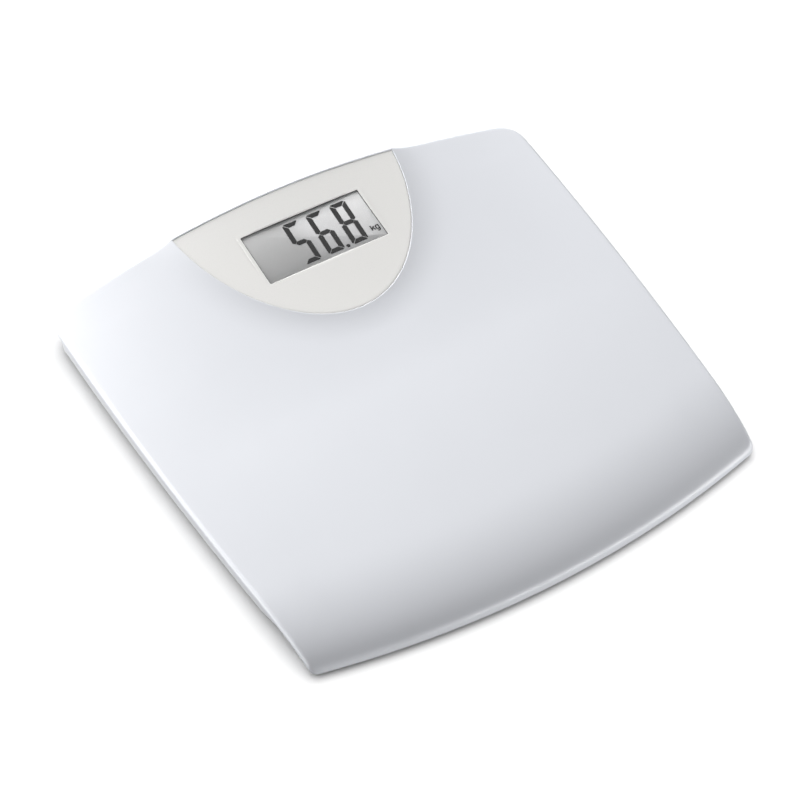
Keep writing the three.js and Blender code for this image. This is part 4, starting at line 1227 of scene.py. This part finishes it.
    def unit_mark(self) -> None:
        """The unit beside the reading: a generic kilogram mark."""
        strokes = (
            [(0, 0), (0, 4.7)],
            [(0.3, 1.5), (2.3, 3.4)],
            [(1.0, 2.4), (2.5, 0)],
            [(5.6, 2.9), (5.0, 3.4), (4.2, 3.4), (3.5, 2.7)]
            + [(3.5, 0.7), (4.2, 0), (5.0, 0), (5.6, 0.5)],
            [(5.7, 3.7), (5.7, -1.0), (5.1, -1.6), (3.7, -1.6)],
        )
        shapes = []
        for line in strokes:
            path = np.array(line, dtype=float)
            along = np.gradient(path, axis=0)
            side = np.column_stack([-along[:, 1], along[:, 0]])
            side *= self.mark_stroke / 2 / np.linalg.norm(side, axis=1)[:, None]
            flat = np.concatenate([path - side, (path + side)[::-1]]) * self.mark_scale
            flat += np.array(self.mark_place) * np.array(self.window)
            heights = (self.glass_top + z for z in self.ink)
            rings = [np.column_stack([flat, np.full(len(flat), z)]) for z in heights]
            faces = ring_faces(len(flat), 2, closed=False)
            count = len(path)
            for low in range(count - 1):
                high = 2 * count - 1 - low
                cell = (low, low + 1, high - 1, high)
                faces += [tuple(reversed(cell)), tuple(2 * count + i for i in cell)]
            shapes.append((np.concatenate(rings), faces))
        points, faces = join_shapes(shapes)
        points = self.plan.to_row(self.tilted(points))
        settle(make_piece("unit_mark", points, faces, LCD_INK.build()), "scale")

    def build(self) -> None:
        """Builds every piece of the display."""
        self.surround()
        self.lens()
        self.border()
        self.glass()
        self.digits()
        self.unit_mark()


@dataclass
class Screws:
    """Cross-recessed screws, each in the place of its CAD node.

    Attributes:
        segments: Steps round a screw.
        recess: Width and length of the cross as shares of the head's radius.
        board_lean: Lean of the board's screws, square to the board, in degrees.
        thread: Pitch of the thread's ridges, and half the length of one.
    """

    segments: int = 32
    recess: tuple[float, float] = (0.28, 0.62)
    board_lean: float = 7.3
    thread: tuple[float, float] = (0.7, 0.18)

    def build_one(
        self, node: str, head_up: bool, tilt: float, material: bpy.types.Material
    ) -> None:
        """Builds a screw between the ends of its CAD node.

        Args:
            node: Name of the CAD node.
            head_up: Whether the head is at the top.
            tilt: Lean of the axis about x, in degrees.
            material: Finish of the screw.
        """
        low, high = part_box(node)
        centre = (low + high) / 2 / MM
        size = (high - low) / MM
        head = size.x / 2
        shaft = head / 2
        angle = math.radians(tilt)
        height = size.z / math.cos(angle) - 2 * head * math.sin(abs(angle)) * 0.8
        cap = head * 0.53
        profile = [(0.05, 0), (head * 0.45, 0.03), (head * 0.75, 0.2), (head * 0.94, cap * 0.5)]
        profile += [(head, cap * 0.75), (head, cap), (shaft, cap)]
        pitch, ridge = self.thread
        turns = max(3, int((height - cap - shaft) / pitch))
        for i in range(turns):
            z = cap + (height - cap - shaft * 1.2) * (i + 0.5) / turns
            profile += [(shaft * 0.82, z - ridge), (shaft, z), (shaft * 0.82, z + ridge)]
        profile += [(shaft * 0.7, height - shaft * 0.9), (0.05, height)]
        points, faces = turned(profile, self.segments)
        points[:, 2] -= height / 2
        piece = make_piece(node + "_detail", points * MM, faces, material)
        width, length = (head * s for s in self.recess)
        cutters = []
        for across in ((width, length * 2), (length * 2, width)):
            outline = rounded_rectangle(*across, width * 0.3, 2)
            levels = [(0, -height / 2 - 1), (width * 0.35, -height / 2 + cap * 0.75)]
            cutters.append(lofted(outline, levels))
        for shape in cutters:
            cutter = make_piece("cross_cutter", shape[0] * MM, shape[1], material)
            cut_away(piece, cutter)
        flip = Matrix.Rotation(math.pi, 4, "X") if head_up else Matrix.Identity(4)
        lean = Matrix.Rotation(angle, 4, "X")
        piece.data.transform(Matrix.Translation(centre * MM) @ lean @ flip)
        settle(piece, "scale", [node])

    def build(self) -> None:
        """Builds every screw of the scale."""
        material = ZINC.build()
        for node in sorted(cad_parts):
            if "screw" in node:
                tilt = self.board_lean if node.startswith("board") else 0.0
                self.build_one(node, node.startswith("carrier"), tilt, material)


@dataclass
class Foot:
    """A weighing foot, its rubber pad and what it presses on.

    Attributes:
        corner: Which corner, as in the names of its nodes.
        pad_radius: Radius of the pad.
        pad_thick: Thickness of the pad.
        foot_radius: Radius of the foot.
        flange: Width of the flange that keeps it captive.
        flange_drop: From the stem's tip down to the flange's underside.
        steps: Steps round the pad and the cup.
        grooves: Radii of the grooves moulded into the pad.
    """

    corner: str
    pad_radius: float = 12.5
    pad_thick: float = 1.8
    foot_radius: float = 15.0
    flange: float = 3.0
    flange_drop: float = 1.4
    steps: int = 72
    grooves: tuple[float, ...] = (4.0, 7.0, 10.0)

    def centre(self) -> Points:
        """Middle of the foot, in mm in the row frame."""
        low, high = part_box(f"foot_{self.corner}")
        middle = (low + high) / 2 / MM
        return np.array([middle.x, middle.y, 0])

    def pad(self, material: bpy.types.Material) -> None:
        """Rubber pad with moulded rings on its sole."""
        profile = [(0.001, 0.0)]
        for radius in self.grooves:
            profile += [(radius - 0.45, 0.0), (radius - 0.25, 0.45), (radius + 0.25, 0.45)]
            profile += [(radius + 0.45, 0.0)]
        for inset, drop in quarter(4):
            profile.append((self.pad_radius - 0.8 * inset, 0.8 * drop))
        profile += [(self.pad_radius, self.pad_thick - 0.1)]
        profile += [(self.pad_radius - 0.1, self.pad_thick), (0.001, self.pad_thick)]
        points, faces = turned(profile, self.steps)
        piece = make_piece(
            f"rubber_pad_{self.corner}", (points + self.centre()) * MM, faces, material
        )
        settle(piece, f"foot_{self.corner}", [f"foot_pad_{self.corner}"])

    def cup(self, material: bpy.types.Material) -> None:
        """The foot's cup, flange and stem."""
        low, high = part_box(f"foot_{self.corner}")
        mouth, top = low.z / MM, high.z / MM
        inner = self.pad_radius + 0.3
        bed = self.pad_thick + 0.3
        flange_low = top - self.flange_drop
        profile = [(0.001, bed), (inner, bed), (inner, mouth + 0.2), (inner + 0.2, mouth)]
        for inset, drop in quarter(4):
            profile.append((self.foot_radius - 0.6 * inset, mouth + 0.6 * drop))
        edge = self.foot_radius + self.flange
        profile += [(self.foot_radius, flange_low), (edge - 0.2, flange_low)]
        profile += [(edge, flange_low + 0.2), (edge, flange_low + 0.8)]
        profile += [(edge - 0.2, flange_low + 1), (6, flange_low + 1)]
        profile += [(5.2, top - 0.1), (4.9, top), (0.001, top)]
        points, faces = turned(profile, self.steps)
        points = (points + self.centre()) * MM
        piece = make_piece(f"foot_cup_{self.corner}", points, faces, material)
        settle(piece, f"foot_{self.corner}", [f"foot_{self.corner}"])


@dataclass
class BatteryDoor:
    """The door under the tray, with its grip ridges.

    Attributes:
        tab_reach: How far the tabs stand out at each side.
        tab_length: Length of a tab.
        tab_thick: Thickness of a tab.
        ridges: Number of grip ridges.
        ridge_pitch: From one ridge to the next.
    """

    tab_reach: float = 1.5
    tab_length: float = 5.0
    tab_thick: float = 0.8
    ridges: int = 5
    ridge_pitch: float = 2.4

    def build(self) -> None:
        """Builds the door and lets it stand for its CAD node."""
        low, high = (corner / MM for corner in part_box("battery_door"))
        centre = (low + high) / 2
        width = high.x - low.x - 2 * self.tab_reach
        length = high.y - low.y
        outline = rounded_rectangle(width, length, 2, 6)
        shapes = [lofted(outline, eased(0, 0.3, low.z, high.z, 3))]
        for end in (-1, 1):
            for side in (-1, 1):
                tab = rounded_rectangle(self.tab_reach + 1, self.tab_length, 0.4, 3)
                x = side * (width / 2 + self.tab_reach / 2 - 0.5)
                tab = lofted(tab, [(0, high.z - self.tab_thick), (0, high.z)])
                tab[0][:, :2] += np.array([x, end * (length / 2 - 7)])
                shapes.append(tab)
        material = TRAY_WHITE.build()
        points, faces = join_shapes(shapes)
        points[:, :2] += np.array([centre.x, centre.y])
        piece = make_piece("sliding_battery_door", points * MM, faces, material)
        for i in range(self.ridges):
            y = centre.y - length / 2 + 5 + i * self.ridge_pitch
            groove = rounded_rectangle(width * 0.42, 1.1, 0.5, 4)
            groove = lofted(groove, [(0, low.z - 1), (0.25, low.z + 0.5)])
            groove[0][:, :2] += np.array([centre.x, y])
            cut_away(piece, make_piece("groove_cutter", groove[0] * MM, groove[1], material))
        arrow = np.array([(-4, 3), (-1.3, 3), (-1.3, 7), (1.3, 7), (1.3, 3), (4, 3), (0, -1.5)])
        heights = np.repeat([low.z - 1, low.z + 0.3], len(arrow))
        arrow = np.column_stack([np.tile(arrow[::-1], (2, 1)), heights])
        arrow[:, :2] += np.array([centre.x, centre.y + 3])
        faces = ring_faces(7, 2, closed=False) + [tuple(range(7)), tuple(range(7, 14))]
        cut_away(piece, make_piece("arrow_cutter", arrow * MM, faces, material))
        settle(piece, "battery_door", ["battery_door"])


@dataclass
class CarriedOver:
    """CAD nodes that are shown as they are, with softened shading and a finish.

    Attributes:
        finishes: Finish for each start of a node's name.
        softened: Width of the softened edge for each start of a name, in mm.
    """

    finishes: dict[str, Finish] = field(
        default_factory=lambda: {
            "base_housing": TRAY_WHITE,
            "lcd_holder": HOLDER_BLACK,
            "contact_strip": STRIP_RUBBER,
            "main_board": BOARD_GREEN,
            "button_board": BOARD_GREEN,
            "processor_blob": EPOXY_BLACK,
            "unit_switch": SWITCH_BLACK,
            "unit_button": BUTTON_GREY,
            "coin_cell": NICKEL,
            "battery_contact": NICKEL,
            "load_cell": CELL_STEEL,
            "cell_carrier": TRAY_WHITE,
            "sensor_cable": CABLE_JACKET,
            "battery_cable": CABLE_JACKET,
            "button_cable": CABLE_JACKET,
        }
    )
    softened: dict[str, float] = field(
        default_factory=lambda: {"base_housing": 0.25, "cell_carrier": 0.2, "coin_cell": 0.1}
    )

    def build(self) -> None:
        """Dresses each node that no piece stands for."""
        made = {start: finish.build() for start, finish in self.finishes.items()}
        for name, node in sorted(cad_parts.items()):
            start = next((s for s in made if name.startswith(s)), None)
            if start is None:
                continue
            node.data.materials.clear()
            node.data.materials.append(made[start])
            node.data.shade_smooth()
            weld = node.modifiers.new("weld", "WELD")
            weld.merge_threshold = 1e-6
            if start in self.softened:
                bevel = node.modifiers.new("soften", "BEVEL")
                bevel.width = self.softened[start] * MM
                bevel.segments = 2
                bevel.limit_method = "ANGLE"
                bevel.angle_limit = SHARP_ANGLE
            split = node.modifiers.new("split", "EDGE_SPLIT")
            split.split_angle = SHARP_ANGLE
            even = node.modifiers.new("even", "WEIGHTED_NORMAL")
            even.weight = 100
            LOG.info("%s keeps its CAD mesh", name)


# ---- studio -----------------------------------------------------------------


@dataclass
class Studio:
    """A pale sweep of paper, soft lights and the camera.

    Attributes:
        azimuth: Bearing of the camera, in degrees.
        elevation: Height of the camera above the horizon, in degrees.
        distance: From the plan's origin to the camera, in metres.
        lens: Focal length, in mm on a 36 mm sensor.
        shift: Lens shift along x and y.
        floor_glow: Light that the paper gives of its own, as on a light table.
    """

    azimuth: float = -30.83
    elevation: float = 50.72
    distance: float = 1.07006
    lens: float = 86.03
    shift: tuple[float, float] = (-0.01121, -0.01344)
    floor_glow: float = 0.02

    def camera(self, plan: Plan) -> None:
        """Places the camera.

        Args:
            plan: The platform's shape, for its shift in the row frame.
        """
        a, e = math.radians(self.azimuth), math.radians(self.elevation)
        back = Vector((math.sin(a) * math.cos(e), -math.cos(a) * math.cos(e), math.sin(e)))
        right = Vector((math.cos(a), math.sin(a), 0))
        up = back.cross(right)
        data = bpy.data.cameras.new("camera")
        data.lens = self.lens
        data.sensor_width = 36
        data.shift_x, data.shift_y = self.shift
        camera = bpy.data.objects.new("camera", data)
        place = Matrix((right, up, back)).transposed().to_4x4()
        place.translation = back * self.distance + Vector((0, plan.shift * MM, 0))
        camera.matrix_world = place
        bpy.context.scene.collection.objects.link(camera)
        bpy.context.scene.camera = camera

    def paper(
        self, name: str, finish: str, points: list, faces: list, glow: float
    ) -> bpy.types.Object:
        """A sheet of white paper that throws no light back at the scale.

        Args:
            name: Name of the sheet.
            finish: Name of its finish.
            points: Its corners, in metres.
            faces: Its faces, as rows of indices of corners.
            glow: Light that it gives of its own.

        Returns:
            The sheet, already in the scene.
        """
        mesh = bpy.data.meshes.new(name)
        mesh.from_pydata(points, [], faces)
        white = Finish(finish, "#fbfbfb", "#f9f9f9", 0.9, grain=1.0, relief=0.01, patch=300)
        material = white.build()
        shader = next(n for n in material.node_tree.nodes if n.type == "BSDF_PRINCIPLED")
        shader.inputs["Emission Color"].default_value = linear("#ffffff")
        shader.inputs["Emission Strength"].default_value = glow
        mesh.materials.append(material)
        sheet = bpy.data.objects.new(name, mesh)
        bpy.context.scene.collection.objects.link(sheet)
        sheet.visible_diffuse = False
        sheet.visible_glossy = False
        return sheet

    def floor(self) -> bpy.types.Object:
        """The sheet that the scale stands on, a hair under its pads."""
        half, low = 4.0, -0.0001
        corners = [(x * half, y * half, low) for x, y in ((-1, -1), (1, -1), (1, 1), (-1, 1))]
        faces = [(0, 1, 2, 3)]
        floor = self.paper("paper_floor", "studio_paper_white", corners, faces, self.floor_glow)
        return floor

    def backdrop(self) -> None:
        """A bowl of paper that rises all round and stops no light."""
        count, radius, rise = 96, 1.15, 2.0
        angles = np.linspace(0, math.pi / 2, 10)
        heights = [(radius + rise * math.sin(a), rise * (1 - math.cos(a))) for a in angles]
        heights.append((radius + rise, 2 * rise))
        turns = [2 * math.pi * i / count for i in range(count)]
        points = [(r * math.cos(t), r * math.sin(t), z) for r, z in heights for t in turns]
        faces = ring_faces(count, len(heights), closed=False)
        backdrop = self.paper("paper_backdrop", "studio_backdrop_white", points, faces, 1.0)
        backdrop.visible_shadow = False

    def light(
        self,
        name: str,
        place: Sequence[float],
        size: tuple[float, float],
        watts: float,
        only: bpy.types.Object | None = None,
        hides: bpy.types.Object | None = None,
    ) -> None:
        """A soft box aimed at the scale.

        Args:
            name: Its name.
            place: Where it hangs, in metres.
            size: Width and height of its face.
            watts: Its power.
            only: The one thing it lights, where it isn't everything.
            hides: A thing it doesn't light.
        """
        data = bpy.data.lights.new(name, "AREA")
        data.shape = "RECTANGLE"
        data.size, data.size_y = size
        data.energy = watts
        lamp = bpy.data.objects.new(name, data)
        lamp.location = place
        aim = Vector((0, 0, 0.02)) - Vector(place)
        lamp.rotation_euler = aim.to_track_quat("-Z", "Y").to_euler()
        bpy.context.scene.collection.objects.link(lamp)
        if only or hides:
            lit = bpy.data.collections.new(name + "_lights")
            lit.objects.link(only or hides)
            lamp.light_linking.receiver_collection = lit
            state = "INCLUDE" if only else "EXCLUDE"
            lit.collection_objects[0].light_linking.link_state = state

    def build(self, plan: Plan) -> None:
        """Sets the stage."""
        self.camera(plan)
        floor = self.floor()
        self.backdrop()
        # Two soft boxes behind the scale, the left one nearer. Three weaker ones stand low
        # at its right, before it and at its left, and lift the edges. The floor gets a wash
        # of its own, so it stays white.
        self.light("key_box", (-0.8, 1.5, 0.75), (1.2, 1.2), 50, hides=floor)
        self.light("back_box", (0.0, 3.0, 1.1), (2.4, 1.2), 132, hides=floor)
        self.light("side_fill", (2.5, -1.6, 0.55), (1.6, 0.8), 39, hides=floor)
        self.light("low_fill", (1.4, -2.6, 0.1), (2.4, 0.4), 65, hides=floor)
        self.light("left_fill", (-2.6, 0.1, 0.08), (2.2, 0.3), 40, hides=floor)
        self.light("floor_wash", (0.1, 0.1, 2.6), (5.0, 5.0), 168, only=floor)
        world = bpy.data.worlds.new("studio_air")
        world.use_nodes = True
        world.node_tree.nodes["Background"].inputs["Color"].default_value = linear("#e9f0fa")
        world.node_tree.nodes["Background"].inputs["Strength"].default_value = 0.02
        bpy.context.scene.world = world
        bpy.context.scene.view_settings.view_transform = "Standard"


def main() -> None:
    """Builds the scale, piece by piece, and its studio."""
    logging.basicConfig(level=logging.INFO, format="%(name)s: %(message)s")
    plan = Plan()
    Studio().build(plan)
    TopCover(plan).build()
    DisplayPanel(plan).build()
    Screws().build()
    pad, cup = PAD_RUBBER.build(), TRAY_WHITE.build()
    for corner in ("front_left", "front_right", "rear_left", "rear_right"):
        foot = Foot(corner)
        foot.pad(pad)
        foot.cup(cup)
    BatteryDoor().build()
    CarriedOver().build()


if __name__ == "__main__":
    main()
